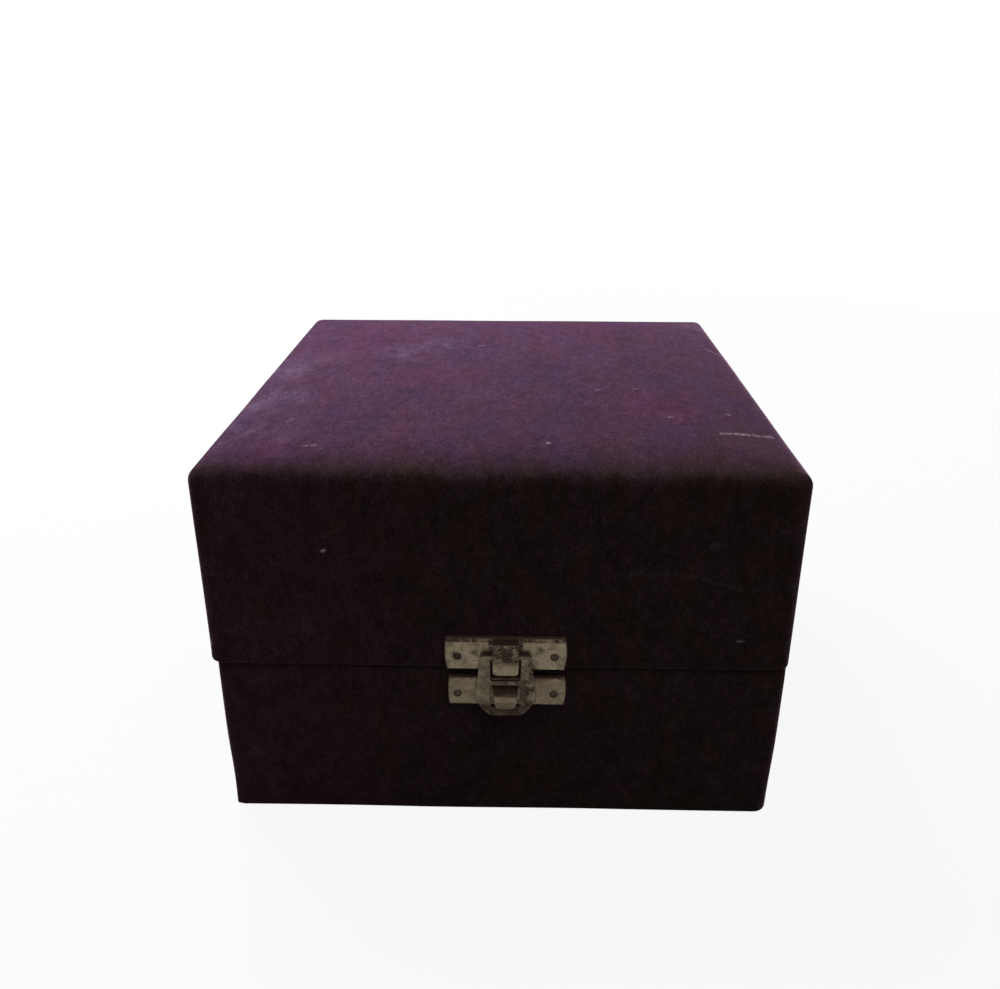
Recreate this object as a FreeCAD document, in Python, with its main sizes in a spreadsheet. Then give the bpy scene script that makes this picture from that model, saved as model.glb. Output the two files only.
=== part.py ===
"""Drafting instrument case: a velvet covered wooden box with a hinged lid, a sheet metal latch and a
lift-out fitted tray.

The origin is the middle of the underside. +X is to the right, -Y is the front with the latch and +Z is up.
Lengths are in millimetres and angles in degrees.
"""
import FreeCAD, Part
import os
import Sketcher

Vector = FreeCAD.Vector

doc = FreeCAD.newDocument("InstrumentCase")

SIZES = {
    # Wooden case and what covers it
    "lid_width": 140.0,
    "case_depth": 150.0,
    "case_height": 93.5,
    "base_height": 44.0,
    "seam_gap": 0.4,
    "side_overhang": 0.8,
    "lid_shift": 0.5,
    "wall_thickness": 4.0,
    "board_thickness": 4.0,
    "cover_thickness": 1.0,
    "lining_thickness": 0.8,
    "lining_set_back": 0.4,
    "sheet_thickness": 0.5,
    "sheet_margin": 4.0,
    "corner_radius": 3.5,
    "top_edge_radius": 3.0,
    "foot_edge_radius": 1.5,
    "rim_edge_radius": 0.6,
    "least_radius": 0.2,
    # Padded panel inside the lid
    "pad_margin": 3.0,
    "pad_edge": 3.0,
    "pad_crown": 4.0,
    "pad_end_crown": 1.0,
    # Latch plates
    "latch_offset": 1.3,
    "plate_width": 28.2,
    "plate_end_radius": 18.0,
    "plate_height": 9.2,
    "plate_thickness": 1.2,
    "plate_edge_radius": 0.9,
    "plate_overlap": 0.6,
    "keeper_drop": 1.9,
    "nail_inset": 2.5,
    "nail_height": 3.9,
    # Hasp, the tab that holds it and the tongue that it drops over
    "pivot_drop": 4.6,
    "eye_radius": 0.7,
    "eye_clearance": 0.15,
    "hasp_thickness": 0.9,
    "arm_top_width": 2.45,
    "arm_foot_width": 3.8,
    "shoulder_radius": 1.4,
    "toe_radius": 4.6,
    "toe_flat_inset": 2.9,
    "toe_slope_height": 4.4,
    "toe_height": 2.5,
    "lip_above": 0.4,
    "lip_angle": 28.0,
    "bar_below": 1.2,
    "bar_height": 1.0,
    "tab_width": 6.2,
    "tab_thickness": 0.8,
    "tab_clearance": 0.1,
    "tab_side_clearance": 0.5,
    "tab_set_down": 0.5,
    "tab_bend_radius": 0.6,
    "tab_corner_radius": 1.2,
    "hem_clearance": 1.9,
    "tongue_thickness": 0.8,
    "tongue_gap": 0.2,
    "tongue_side_clearance": 0.35,
    "tongue_bar_clearance": 0.8,
    "tongue_height": 5.2,
    "tongue_fall": 1.4,
    "tongue_taper": 0.9,
    "tongue_tip_radius": 1.2,
    "tongue_bend_radius": 0.3,
    "flare_out": 0.9,
    "flare_height": 1.7,
    "tip_clearance": 0.8,
    # Nails
    "nail_head_radius": 0.9,
    "nail_head_height": 0.5,
    "nail_head_sink": 0.2,
    "nail_shank_radius": 0.55,
    "nail_clearance": 0.08,
    "nail_wood_left": 1.3,
    # Butt hinges on the back
    "hinge_side_inset": 29.2,
    "leaf_width": 22.0,
    "leaf_height": 9.0,
    "leaf_thickness": 0.9,
    "leaf_relief": 0.3,
    "knuckle_radius": 1.6,
    "middle_knuckle": 7.4,
    "knuckle_gap": 0.15,
    "hinge_stand_off": 0.2,
    "pin_radius": 0.8,
    "pin_clearance": 0.04,
    "hinge_nail_inset": 4.5,
    # Lift-out tray and the bed of recesses in it
    "bearer_height": 15.0,
    "bearer_width": 5.0,
    "tray_clearance": 0.5,
    "tray_height": 20.0,
    "tray_floor_thickness": 2.0,
    "tray_wall_thickness": 2.5,
    "bed_height": 14.0,
    "bed_bar_width": 5.0,
    "compass_head_width": 28.0,
    "compass_point_width": 18.0,
    "divider_head_width": 18.0,
    "divider_point_width": 11.0,
    "pen_head_width": 11.0,
    "pen_point_width": 9.0,
    "bow_width": 20.0,
    "bow_length": 84.0,
    "bow_stop_width": 6.0,
    "bow_rib_width": 6.0,
    "pull_width": 12.0,
    "pull_thickness": 0.6,
    "pull_rise": 8.0,
}

# Recesses that narrow towards the points, from left to right
FAN_RECESSES = ("compass", "divider", "pen", "pen")

# Places and sizes that follow from the driving dimensions
LAYOUT = {
    "front_y": "-Sizes.case_depth / 2",
    "back_y": "Sizes.case_depth / 2",
    "lid_x": "-Sizes.lid_shift",
    "base_width": "Sizes.lid_width - 2 * Sizes.side_overhang",
    "base_core_width": "base_width - 2 * Sizes.cover_thickness",
    "lid_core_width": "Sizes.lid_width - 2 * Sizes.cover_thickness",
    "core_depth": "Sizes.case_depth - 2 * Sizes.cover_thickness",
    "base_room_width": "base_core_width - 2 * Sizes.wall_thickness",
    "lid_room_width": "lid_core_width - 2 * Sizes.wall_thickness",
    "room_depth": "core_depth - 2 * Sizes.wall_thickness",
    "base_clear_width": "base_room_width - 2 * Sizes.lining_thickness",
    "lid_clear_width": "lid_room_width - 2 * Sizes.lining_thickness",
    "clear_depth": "room_depth - 2 * Sizes.lining_thickness",
    "core_corner": "max(Sizes.corner_radius - Sizes.cover_thickness; Sizes.least_radius)",
    "core_top_edge": "max(Sizes.top_edge_radius - Sizes.cover_thickness; Sizes.least_radius)",
    "core_foot_edge": "max(Sizes.foot_edge_radius - Sizes.cover_thickness; Sizes.least_radius)",
    "floor_board_z": "Sizes.sheet_thickness + Sizes.cover_thickness",
    "base_wall_z": "floor_board_z + Sizes.board_thickness",
    "base_wall_top": "Sizes.base_height - Sizes.cover_thickness",
    "base_wall_height": "base_wall_top - base_wall_z",
    "floor_z": "base_wall_z + Sizes.lining_thickness",
    "lid_rim_z": "Sizes.base_height + Sizes.seam_gap",
    "lid_wall_z": "lid_rim_z + Sizes.cover_thickness",
    "lid_board_z": "Sizes.case_height - Sizes.cover_thickness - Sizes.board_thickness",
    "lid_wall_height": "lid_board_z - lid_wall_z",
    "ceiling_z": "lid_board_z - Sizes.lining_thickness",
    "pad_width": "lid_clear_width - 2 * Sizes.pad_margin",
    "pad_depth": "clear_depth - 2 * Sizes.pad_margin",
    # Latch, with heights above the underside and distances out from the velvet
    "keeper_top": "Sizes.base_height - Sizes.keeper_drop",
    "keeper_z": "keeper_top - Sizes.plate_height",
    "plate_z": "Sizes.base_height - Sizes.plate_overlap",
    "plate_top": "plate_z + Sizes.plate_height",
    "nail_x": "Sizes.plate_width / 2 - Sizes.nail_inset",
    "pivot_z": "plate_top - Sizes.pivot_drop",
    "eye_half": "max(Sizes.eye_radius; Sizes.hasp_thickness / 2)",
    "pivot_out": "Sizes.plate_thickness + Sizes.eye_clearance + eye_half",
    "hasp_back": "pivot_out - Sizes.hasp_thickness / 2",
    "hasp_front": "pivot_out + Sizes.hasp_thickness / 2",
    "window_width": "Sizes.tab_width + 2 * Sizes.tab_side_clearance",
    "bar_z": "keeper_top - Sizes.bar_below",
    "bar_top": "bar_z + Sizes.bar_height / 2",
    "bar_bottom": "bar_z - Sizes.bar_height / 2",
    "root_z": "bar_bottom - Sizes.tongue_bar_clearance",
    "tip_z": "root_z - Sizes.tongue_height",
    "window_z": "tip_z - Sizes.tip_clearance",
    "lip_z": "window_z + Sizes.lip_above",
    "toe_z": "window_z - Sizes.toe_height",
    "lip_run": "lip_z - toe_z + Sizes.hasp_thickness",
    "lip_out": "lip_run * tan(Sizes.lip_angle * 1 deg)",
    "lip_slant": "Sizes.hasp_thickness / cos(Sizes.lip_angle * 1 deg)",
    "lip_miter": "Sizes.hasp_thickness * tan(Sizes.lip_angle / 2 * 1 deg)",
    "hasp_reach": "hasp_front + lip_out + lip_slant",
    "tab_in": "pivot_out + eye_half + Sizes.tab_clearance",
    "tab_out": "tab_in + Sizes.tab_thickness",
    "hem_in": "tab_in - Sizes.tab_thickness",
    "hem_z": "bar_top + Sizes.hem_clearance",
    "hem_top": "pivot_z - Sizes.eye_radius - Sizes.tab_clearance",
    "shelf_z": "plate_top - Sizes.tab_set_down",
    "tongue_in": "hasp_front + Sizes.tongue_gap",
    "tongue_out": "tongue_in + Sizes.tongue_thickness",
    "tongue_reach": "tongue_out + Sizes.flare_out",
    "tongue_width": "window_width - 2 * Sizes.tongue_side_clearance",
    # Nails
    "nail_depth": "Sizes.cover_thickness + Sizes.wall_thickness - Sizes.nail_wood_left",
    "latch_nail_seat": "Sizes.plate_thickness - Sizes.nail_head_sink - Sizes.nail_head_height",
    # Hinges
    "hinge_x": "base_width / 2 - Sizes.hinge_side_inset",
    "hinge_y": "back_y + Sizes.hinge_stand_off + Sizes.knuckle_radius",
    "hinge_z": "Sizes.base_height + Sizes.seam_gap / 2",
    "leaf_start": "Sizes.knuckle_radius + Sizes.leaf_relief",
    "end_knuckle": "(Sizes.leaf_width - Sizes.middle_knuckle) / 2 - Sizes.knuckle_gap",
    "hinge_nail_x": "Sizes.leaf_width / 2 - Sizes.hinge_nail_inset",
    "hinge_nail_drop": "leaf_start + Sizes.leaf_height / 2",
    # Tray
    "tray_width": "base_clear_width - 2 * Sizes.tray_clearance",
    "tray_depth": "clear_depth - 2 * Sizes.tray_clearance",
    "tray_z": "floor_z + Sizes.bearer_height",
    "tray_wall_z": "tray_z + Sizes.tray_floor_thickness",
    "tray_wall_height": "Sizes.tray_height - Sizes.tray_floor_thickness",
    "bed_width": "tray_width - 2 * Sizes.tray_wall_thickness",
    "bed_depth": "tray_depth - 2 * Sizes.tray_wall_thickness",
    "recess_depth": "bed_depth - 2 * Sizes.bed_bar_width",
    "fan_width": "bed_width - Sizes.bow_width - Sizes.bow_rib_width",
    "fan_heads": " + ".join(f"Sizes.{kind}_head_width" for kind in FAN_RECESSES),
    "head_rib": f"(fan_width - fan_heads) / {len(FAN_RECESSES) + 1}",
    "pull_z": "tray_wall_z + Sizes.bed_height",
}

FORWARD = FreeCAD.Rotation(Vector(1, 0, 0), -90)
SIDEWAYS = FreeCAD.Rotation(Vector(0, 1, 0), 90)
LEFT, RIGHT = "-1", "1"
# Lengths closer than this count as the same
SAME = 0.001


def fill_sheet(name, cells, prefix):
    """Spreadsheet with one aliased cell for each entry."""
    sheet = doc.addObject("Spreadsheet::Sheet", name)
    for row, (alias, content) in enumerate(cells.items(), start=1):
        sheet.set(f"A{row}", alias)
        sheet.set(f"B{row}", f"{prefix}{content}")
        sheet.setAlias(f"B{row}", alias)
    doc.recompute()
    return sheet


sizes = fill_sheet("Sizes", SIZES, "")
fill_sheet("Layout", LAYOUT, "=")


def value(expression):
    """Number that an expression gives now."""
    return float(sizes.evalExpression(expression))


def place(obj, low):
    """Binds the three coordinates of an object's place."""
    for axis, expression in zip("xyz", low):
        obj.setExpression(f"Placement.Base.{axis}", expression)
    return obj


def block(name, size, low):
    """Plain box from its size along X, Y and Z and its low corner."""
    box = doc.addObject("Part::Box", name)
    for side, expression in zip(("Length", "Width", "Height"), size):
        box.setExpression(side, expression)
    return place(box, low)


def rod(name, radius, length, low, turn):
    """Cylinder that runs from low along +X (SIDEWAYS) or +Y (FORWARD)."""
    cylinder = doc.addObject("Part::Cylinder", name)
    cylinder.setExpression("Radius", radius)
    cylinder.setExpression("Height", length)
    cylinder.Placement = FreeCAD.Placement(Vector(), turn)
    return place(cylinder, low)


def fused(name, shapes):
    """Union of several objects."""
    union = doc.addObject("Part::MultiFuse", name)
    union.Shapes = shapes
    return union


def group(name, solids):
    """Separate solids kept as one sub-part."""
    compound = doc.addObject("Part::Compound", name)
    compound.Links = solids
    return compound


def cut(name, blank, tools):
    """What is left of a blank when the tools are taken out of it."""
    remainder = doc.addObject("Part::Cut", name)
    remainder.Base = blank
    remainder.Tool = tools[0] if len(tools) == 1 else fused(f"{name}_tools", tools)
    return remainder


def common(name, first, second):
    """What two objects share."""
    shared = doc.addObject("Part::Common", name)
    shared.Base = first
    shared.Tool = second
    return shared


def sketch_in(body, role, name):
    """Sketch on one of a body's own origin planes."""
    sketch = body.newObject("Sketcher::SketchObject", name)
    plane = next(item for item in body.Origin.OriginFeatures if item.Role == role)
    sketch.AttachmentSupport = [(plane, "")]
    sketch.MapMode = "FlatFace"
    return sketch


def draw_outline(sketch, corners, bows=None):
    """Closed anticlockwise outline. bows gives an outward arc's radius for the side after a corner."""
    bows = bows or {}
    first = sketch.GeometryCount
    count = len(corners)
    points = [Vector(value(across), value(up), 0) for across, up in corners]
    for side in range(count):
        start, end = points[side], points[(side + 1) % count]
        if side in bows:
            radius = value(bows[side])
            half = (end - start).Length / 2
            outward = Vector((end - start).y, (start - end).x, 0).normalize()
            middle = (start + end) / 2 + outward * (radius - (radius ** 2 - half ** 2) ** 0.5)
            sketch.addGeometry(Part.Arc(start, middle, end), False)
        else:
            sketch.addGeometry(Part.LineSegment(start, end), False)
    for side in range(count):
        following = first + (side + 1) % count
        sketch.addConstraint(Sketcher.Constraint("Coincident", first + side, 2, following, 1))
    for side, corner in enumerate(corners):
        for kind, expression in zip(("DistanceX", "DistanceY"), corner):
            datum = Sketcher.Constraint(kind, -1, 1, first + side, 1, value(expression))
            sketch.setExpression(f"Constraints[{sketch.addConstraint(datum)}]", expression)
    for side, radius in bows.items():
        datum = Sketcher.Constraint("Radius", first + side, value(radius))
        sketch.setExpression(f"Constraints[{sketch.addConstraint(datum)}]", radius)


def pad(body, sketch, length, both_ways=False):
    """Pad of a sketch, to one side of its plane or centred on it."""
    feature = body.newObject("PartDesign::Pad", f"{body.Name}_pad")
    feature.Profile = sketch
    feature.setExpression("Length", length)
    feature.Midplane = both_ways
    doc.recompute()
    return feature


def round_edges(body, feature, radius, chosen):
    """Fillet on the edges whose boxes pass the test chosen(edge box, solid box)."""
    whole = feature.Shape.BoundBox
    names = [f"Edge{number}" for number, edge in enumerate(feature.Shape.Edges, start=1)
             if chosen(edge.BoundBox, whole)]
    fillet = body.newObject("PartDesign::Fillet", f"{body.Name}_fillet")
    fillet.Base = (feature, names)
    fillet.setExpression("Radius", radius)
    doc.recompute()
    return fillet


def uprights(edge, whole):
    return edge.ZLength > edge.XLength + edge.YLength + SAME


def front_uprights(edge, whole):
    return uprights(edge, whole) and edge.YMax < whole.Center.y


def back_uprights(edge, whole):
    return uprights(edge, whole) and edge.YMin > whole.Center.y


def top_loop(edge, whole):
    return edge.ZMin > whole.ZMax - SAME


def bottom_loop(edge, whole):
    return edge.ZMax < whole.ZMin + SAME


def front_loop(edge, whole):
    return edge.YMax < whole.YMin + SAME


def rounded_block(name, size, low, rounds):
    """Padded rectangle with fillets, given as (radius, test) pairs in the order they are made."""
    length, width, height = size
    body = doc.addObject("PartDesign::Body", name)
    sketch = sketch_in(body, "XY_Plane", f"{name}_plan")
    draw_outline(sketch, [("0", "0"), (length, "0"), (length, width), ("0", width)])
    feature = pad(body, sketch, height)
    for radius, chosen in rounds:
        feature = round_edges(body, feature, radius, chosen)
    return place(body, low)


def corner_fillets(body, feature, axis, rounds):
    """Fillets on the edges along an axis that pass through given corners, as (radius, corners) pairs."""
    across = "YZ" if axis == "X" else "XZ"
    for radius, corners in rounds:
        spots = [tuple(value(item) for item in corner) for corner in corners]

        def at_spot(edge, whole):
            along = getattr(edge, f"{axis}Length")
            here = tuple(getattr(edge.Center, name.lower()) for name in across)
            flat = max(getattr(edge, f"{name}Length") for name in across) < SAME
            near = any(abs(here[0] - a) < SAME and abs(here[1] - b) < SAME for a, b in spots)
            return along > SAME and flat and near

        feature = round_edges(body, feature, radius, at_spot)


def side_profile(name, width, corners, bends=()):
    """Strip of sheet metal seen from the side, with (out, up) corners, padded along X about the middle."""
    body = doc.addObject("PartDesign::Body", name)
    sketch = sketch_in(body, "YZ_Plane", f"{name}_side")
    turned = [(f"-({out})", up) for out, up in corners]
    draw_outline(sketch, turned)
    feature = pad(body, sketch, width, both_ways=True)
    bends_turned = [(radius, [(f"-({out})", up) for out, up in spots]) for radius, spots in bends]
    corner_fillets(body, feature, "X", bends_turned)
    return body


def front_outline(name, reach, corners, rounds=(), windows=(), bows=None):
    """Plate seen from the front, with (across, up) corners, padded out towards the viewer."""
    body = doc.addObject("PartDesign::Body", name)
    sketch = sketch_in(body, "XZ_Plane", f"{name}_front")
    draw_outline(sketch, corners, bows)
    for window in windows:
        draw_outline(sketch, window)
    feature = pad(body, sketch, reach)
    corner_fillets(body, feature, "Y", rounds)
    return body


def rectangle(left, bottom, right, top):
    """Anticlockwise corners of a rectangle."""
    return [(left, bottom), (right, bottom), (right, top), (left, top)]


def centred(width, middle="0"):
    """Low end of a width that is centred on a place."""
    return f"{middle} - {width} / 2"


# Nails come first, because the boards, covers and plates are bored for them
def nail_group(name, spots, face, outward, seat):
    """Nails driven in at (x, z) spots through a face of the case, the heads' undersides seat out from it."""
    nails = []
    for number, (x, z) in enumerate(spots, start=1):
        inner = f"{face} - {outward} * Layout.nail_depth"
        under_head = f"{face} + {outward} * {seat}"
        head_top = f"{under_head} + {outward} * Sizes.nail_head_height"
        shank_low, head_low = (inner, under_head) if outward == "1" else (under_head, head_top)
        stem = f"{name}_{number}"
        shank_length = f"Layout.nail_depth + {seat}"
        shank = rod(f"{stem}_shank", "Sizes.nail_shank_radius", shank_length, (x, shank_low, z), FORWARD)
        head = rod(f"{stem}_head", "Sizes.nail_head_radius", "Sizes.nail_head_height",
                   (x, head_low, z), FORWARD)
        nails.append(fused(f"{stem}_nail", [shank, head]))
    return group(name, nails)


def latch_spots(plate_z):
    """Nail places of a latch plate."""
    return [(f"Sizes.latch_offset {sign} Layout.nail_x", f"{plate_z} + Sizes.nail_height") for sign in "-+"]


def hinge_spots(side, hands=(LEFT, RIGHT)):
    """Nail places of the hinges' leaves, above (+) or below (-) the hinge line."""
    height = f"Layout.hinge_z {side} Layout.hinge_nail_drop"
    return [(f"{hand} * Layout.hinge_x {sign} Layout.hinge_nail_x", height)
            for hand in hands for sign in "-+"]


keeper_nails = nail_group("keeper_nails", latch_spots("Layout.keeper_z"), "Layout.front_y", "-1",
                          "Layout.latch_nail_seat")
latch_nails = nail_group("latch_nails", latch_spots("Layout.plate_z"), "Layout.front_y", "-1",
                         "Layout.latch_nail_seat")
base_hinge_nails = nail_group("base_hinge_nails", hinge_spots("-"), "Layout.back_y", "1",
                              "Sizes.leaf_thickness")
lid_hinge_nails = nail_group("lid_hinge_nails", hinge_spots("+"), "Layout.back_y", "1",
                             "Sizes.leaf_thickness")


def nail_holes(name, spots, face, outward, deep, seat=None):
    """Clearance holes through a plate as thick as deep, sunk for the heads where a seat is given."""
    tools = []
    for number, (x, z) in enumerate(spots, start=1):
        low = face if outward == "1" else f"{face} - {deep}"
        tools.append(rod(f"{name}_{number}_hole", "Sizes.nail_shank_radius + Sizes.nail_clearance", deep,
                         (x, low, z), FORWARD))
        if seat:
            tools.append(rod(f"{name}_{number}_sink", "Sizes.nail_head_radius + Sizes.nail_clearance",
                             f"{deep} - {seat}", (x, low, z), FORWARD))
    return tools


def case_walls(part, width, middle, bottom, height, front_nails, back_nails):
    """Four walls of one half of the case, the front and back ones as long as it is wide."""
    inner_depth = "Layout.room_depth"
    left = centred(width, middle)
    front = "-Layout.core_depth / 2"
    back = "Layout.core_depth / 2 - Sizes.wall_thickness"
    long_size = (width, "Sizes.wall_thickness", height)
    short_size = ("Sizes.wall_thickness", inner_depth, height)
    front_blank = rounded_block(f"{part}_front_wall_blank", long_size, (left, front, bottom),
                                [("Layout.core_corner", front_uprights)])
    back_blank = rounded_block(f"{part}_back_wall_blank", long_size, (left, back, bottom),
                               [("Layout.core_corner", back_uprights)])
    side_y = centred(inner_depth)
    right = f"{middle} + {width} / 2 - Sizes.wall_thickness"
    return [
        cut(f"{part}_front_wall", front_blank, [front_nails]),
        cut(f"{part}_back_wall", back_blank, [back_nails]),
        block(f"{part}_left_wall", short_size, (left, side_y, bottom)),
        block(f"{part}_right_wall", short_size, (right, side_y, bottom)),
    ]


def case_base():
    """Bottom board, walls, velvet cover, underside sheet, lining and the bearers that carry the tray."""
    core_low = (centred("Layout.base_core_width"), centred("Layout.core_depth"), "Layout.floor_board_z")
    plan = ("Layout.base_core_width", "Layout.core_depth")
    foot = [("Layout.core_corner", uprights), ("Layout.core_foot_edge", bottom_loop)]
    bottom_board = rounded_block("base_bottom_board", plan + ("Sizes.board_thickness",), core_low, foot)
    walls = case_walls("base", "Layout.base_core_width", "0", "Layout.base_wall_z", "Layout.base_wall_height",
                       keeper_nails, base_hinge_nails)
    core = rounded_block("base_core", plan + ("Layout.base_wall_top - Layout.floor_board_z",), core_low, foot)
    outer_size = ("Layout.base_width", "Sizes.case_depth", "Sizes.base_height - Sizes.sheet_thickness")
    outer_low = (centred("Layout.base_width"), "Layout.front_y", "Sizes.sheet_thickness")
    outer = rounded_block("base_cover_blank", outer_size, outer_low,
                          [("Sizes.corner_radius", uprights), ("Sizes.foot_edge_radius", bottom_loop),
                           ("Sizes.rim_edge_radius", top_loop)])
    room_low = (centred("Layout.base_room_width"), centred("Layout.room_depth"))
    mouth = block("base_mouth", ("Layout.base_room_width", "Layout.room_depth", "2 * Sizes.cover_thickness"),
                  room_low + ("Layout.base_wall_top - Sizes.cover_thickness / 2",))
    cover = cut("base_cover", outer, [core, mouth, keeper_nails, base_hinge_nails])
    sheet_size = ("Layout.base_width - 2 * Sizes.sheet_margin", "Sizes.case_depth - 2 * Sizes.sheet_margin",
                  "Sizes.sheet_thickness")
    sheet = block("base_underside_sheet", sheet_size,
                  ("Sizes.sheet_margin - Layout.base_width / 2", "Layout.front_y + Sizes.sheet_margin", "0"))
    lining_height = "Sizes.base_height - Sizes.lining_set_back - Layout.base_wall_z"
    lining_blank = block("base_lining_blank", ("Layout.base_room_width", "Layout.room_depth", lining_height),
                         room_low + ("Layout.base_wall_z",))
    hollow = block("base_hollow", ("Layout.base_clear_width", "Layout.clear_depth", lining_height),
                   (centred("Layout.base_clear_width"), centred("Layout.clear_depth"), "Layout.floor_z"))
    lining = cut("base_lining", lining_blank, [hollow])
    bearer_size = ("Sizes.bearer_width", "Layout.clear_depth", "Sizes.bearer_height")
    bearers = [block(f"tray_bearer_{side}", bearer_size, (x, centred("Layout.clear_depth"), "Layout.floor_z"))
               for side, x in (("left", centred("Layout.base_clear_width")),
                               ("right", "Layout.base_clear_width / 2 - Sizes.bearer_width"))]
    return [bottom_board, *walls, cover, sheet, lining, group("tray_bearers", bearers)]


def case_lid():
    """Top board, walls, velvet cover, lining and padded panel."""
    board_low = (centred("Layout.lid_core_width", "Layout.lid_x"), centred("Layout.core_depth"),
                 "Layout.lid_board_z")
    plan = ("Layout.lid_core_width", "Layout.core_depth")
    crown = [("Layout.core_corner", uprights), ("Layout.core_top_edge", top_loop)]
    top_board = rounded_block("lid_top_board", plan + ("Sizes.board_thickness",), board_low, crown)
    walls = case_walls("lid", "Layout.lid_core_width", "Layout.lid_x", "Layout.lid_wall_z",
                       "Layout.lid_wall_height", latch_nails, lid_hinge_nails)
    core = rounded_block("lid_core", plan + ("Layout.lid_wall_height + Sizes.board_thickness",),
                         board_low[:2] + ("Layout.lid_wall_z",), crown)
    outer_low = (centred("Sizes.lid_width", "Layout.lid_x"), "Layout.front_y", "Layout.lid_rim_z")
    outer_size = ("Sizes.lid_width", "Sizes.case_depth", "Sizes.case_height - Layout.lid_rim_z")
    outer = rounded_block("lid_cover_blank", outer_size, outer_low,
                          [("Sizes.corner_radius", uprights), ("Sizes.top_edge_radius", top_loop),
                           ("Sizes.rim_edge_radius", bottom_loop)])
    mouth_low = (centred("Layout.lid_room_width", "Layout.lid_x"), centred("Layout.room_depth"),
                 "Layout.lid_rim_z - Sizes.cover_thickness / 2")
    mouth = block("lid_mouth", ("Layout.lid_room_width", "Layout.room_depth", "2 * Sizes.cover_thickness"),
                  mouth_low)
    cover = cut("lid_cover", outer, [core, mouth, latch_nails, lid_hinge_nails])
    lining_low = "Layout.lid_rim_z + Sizes.lining_set_back"
    lining_height = f"Layout.lid_board_z - ({lining_low})"
    lining_blank = block("lid_lining_blank", ("Layout.lid_room_width", "Layout.room_depth", lining_height),
                         mouth_low[:2] + (lining_low,))
    hollow = block("lid_hollow", ("Layout.lid_clear_width", "Layout.clear_depth", lining_height),
                   (centred("Layout.lid_clear_width", "Layout.lid_x"), centred("Layout.clear_depth"),
                    f"{lining_low} - Sizes.lining_thickness"))
    lining = cut("lid_lining", lining_blank, [hollow])
    return [top_board, *walls, cover, lining, lid_pad()]


def lid_pad():
    """Padded panel under the lid's ceiling, crowned most in the middle, lofted front to back."""
    half = "Layout.pad_width / 2"
    sections = []
    half_depth = "Layout.pad_depth / 2"
    for end, offset in (("front", f"-{half_depth}"), ("middle", "0"), ("back", half_depth)):
        rise = "Sizes.pad_crown" if end == "middle" else "Sizes.pad_end_crown"
        bow = f"(({half}) ^ 2 + ({rise}) ^ 2) / (2 * {rise})"
        section = doc.addObject("Sketcher::SketchObject", f"lid_pad_{end}")
        section.Placement = FreeCAD.Placement(Vector(), FreeCAD.Rotation(Vector(1, 0, 0), 90))
        place(section, ("Layout.lid_x", offset, "Layout.ceiling_z"))
        draw_outline(section, rectangle(f"-{half}", "-Sizes.pad_edge", half, "0"), bows={0: bow})
        sections.append(section)
    doc.recompute()
    panel = doc.addObject("Part::Loft", "lid_pad")
    panel.Sections = sections
    panel.Solid = True
    return panel


def latch_plate_blank(name, low_z):
    """Pressed plate with bowed ends and rounded front edges."""
    half = "Sizes.plate_width / 2"
    body = front_outline(name, "Sizes.plate_thickness",
                         rectangle(f"-{half}", "0", half, "Sizes.plate_height"),
                         bows={1: "Sizes.plate_end_radius", 3: "Sizes.plate_end_radius"})
    round_edges(body, body.Tip, "Sizes.plate_edge_radius", front_loop)
    return place(body, ("Sizes.latch_offset", "Layout.front_y", low_z))


def at_latch(obj):
    """Puts a piece drawn about the latch's middle, with true heights, on the front of the case."""
    return place(obj, ("Sizes.latch_offset", "Layout.front_y", "0"))


def latch_plate():
    """Lid plate, with a tab folded forward and down from its top edge to hold the hasp's bar."""
    root = "Sizes.plate_thickness / 2"
    folds = [("Layout.tab_out", "Layout.shelf_z"), ("Layout.tab_out", "Layout.hem_z"),
             ("Layout.hem_in", "Layout.hem_z")]
    profile = side_profile("latch_tab_profile", "Sizes.tab_width", [
        (root, "Layout.shelf_z"), (root, "Layout.shelf_z - Sizes.tab_thickness"),
        ("Layout.tab_in", "Layout.shelf_z - Sizes.tab_thickness"), ("Layout.tab_in", "Layout.hem_top"),
        ("Layout.hem_in", "Layout.hem_top"), ("Layout.hem_in", "Layout.hem_z"),
        ("Layout.tab_out", "Layout.hem_z"), ("Layout.tab_out", "Layout.shelf_z"),
    ][::-1], bends=[("Sizes.tab_bend_radius", folds)])
    half = "Sizes.tab_width / 2"
    lower_corners = [(f"-{half}", "Layout.hem_z"), (half, "Layout.hem_z")]
    outline = front_outline("latch_tab_outline", "Layout.tab_out",
                            rectangle(f"-{half}", "Layout.hem_z", half, "Layout.shelf_z"),
                            [("Sizes.tab_corner_radius", lower_corners)])
    tab = common("latch_tab", at_latch(profile), at_latch(outline))
    blank = fused("latch_plate_blank", [latch_plate_blank("latch_plate_sheet", "Layout.plate_z"), tab])
    holes = nail_holes("latch_plate", latch_spots("Layout.plate_z"), "Layout.front_y", "-1",
                       "Sizes.plate_thickness", "Layout.latch_nail_seat")
    return cut("latch_plate", blank, holes)


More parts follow.
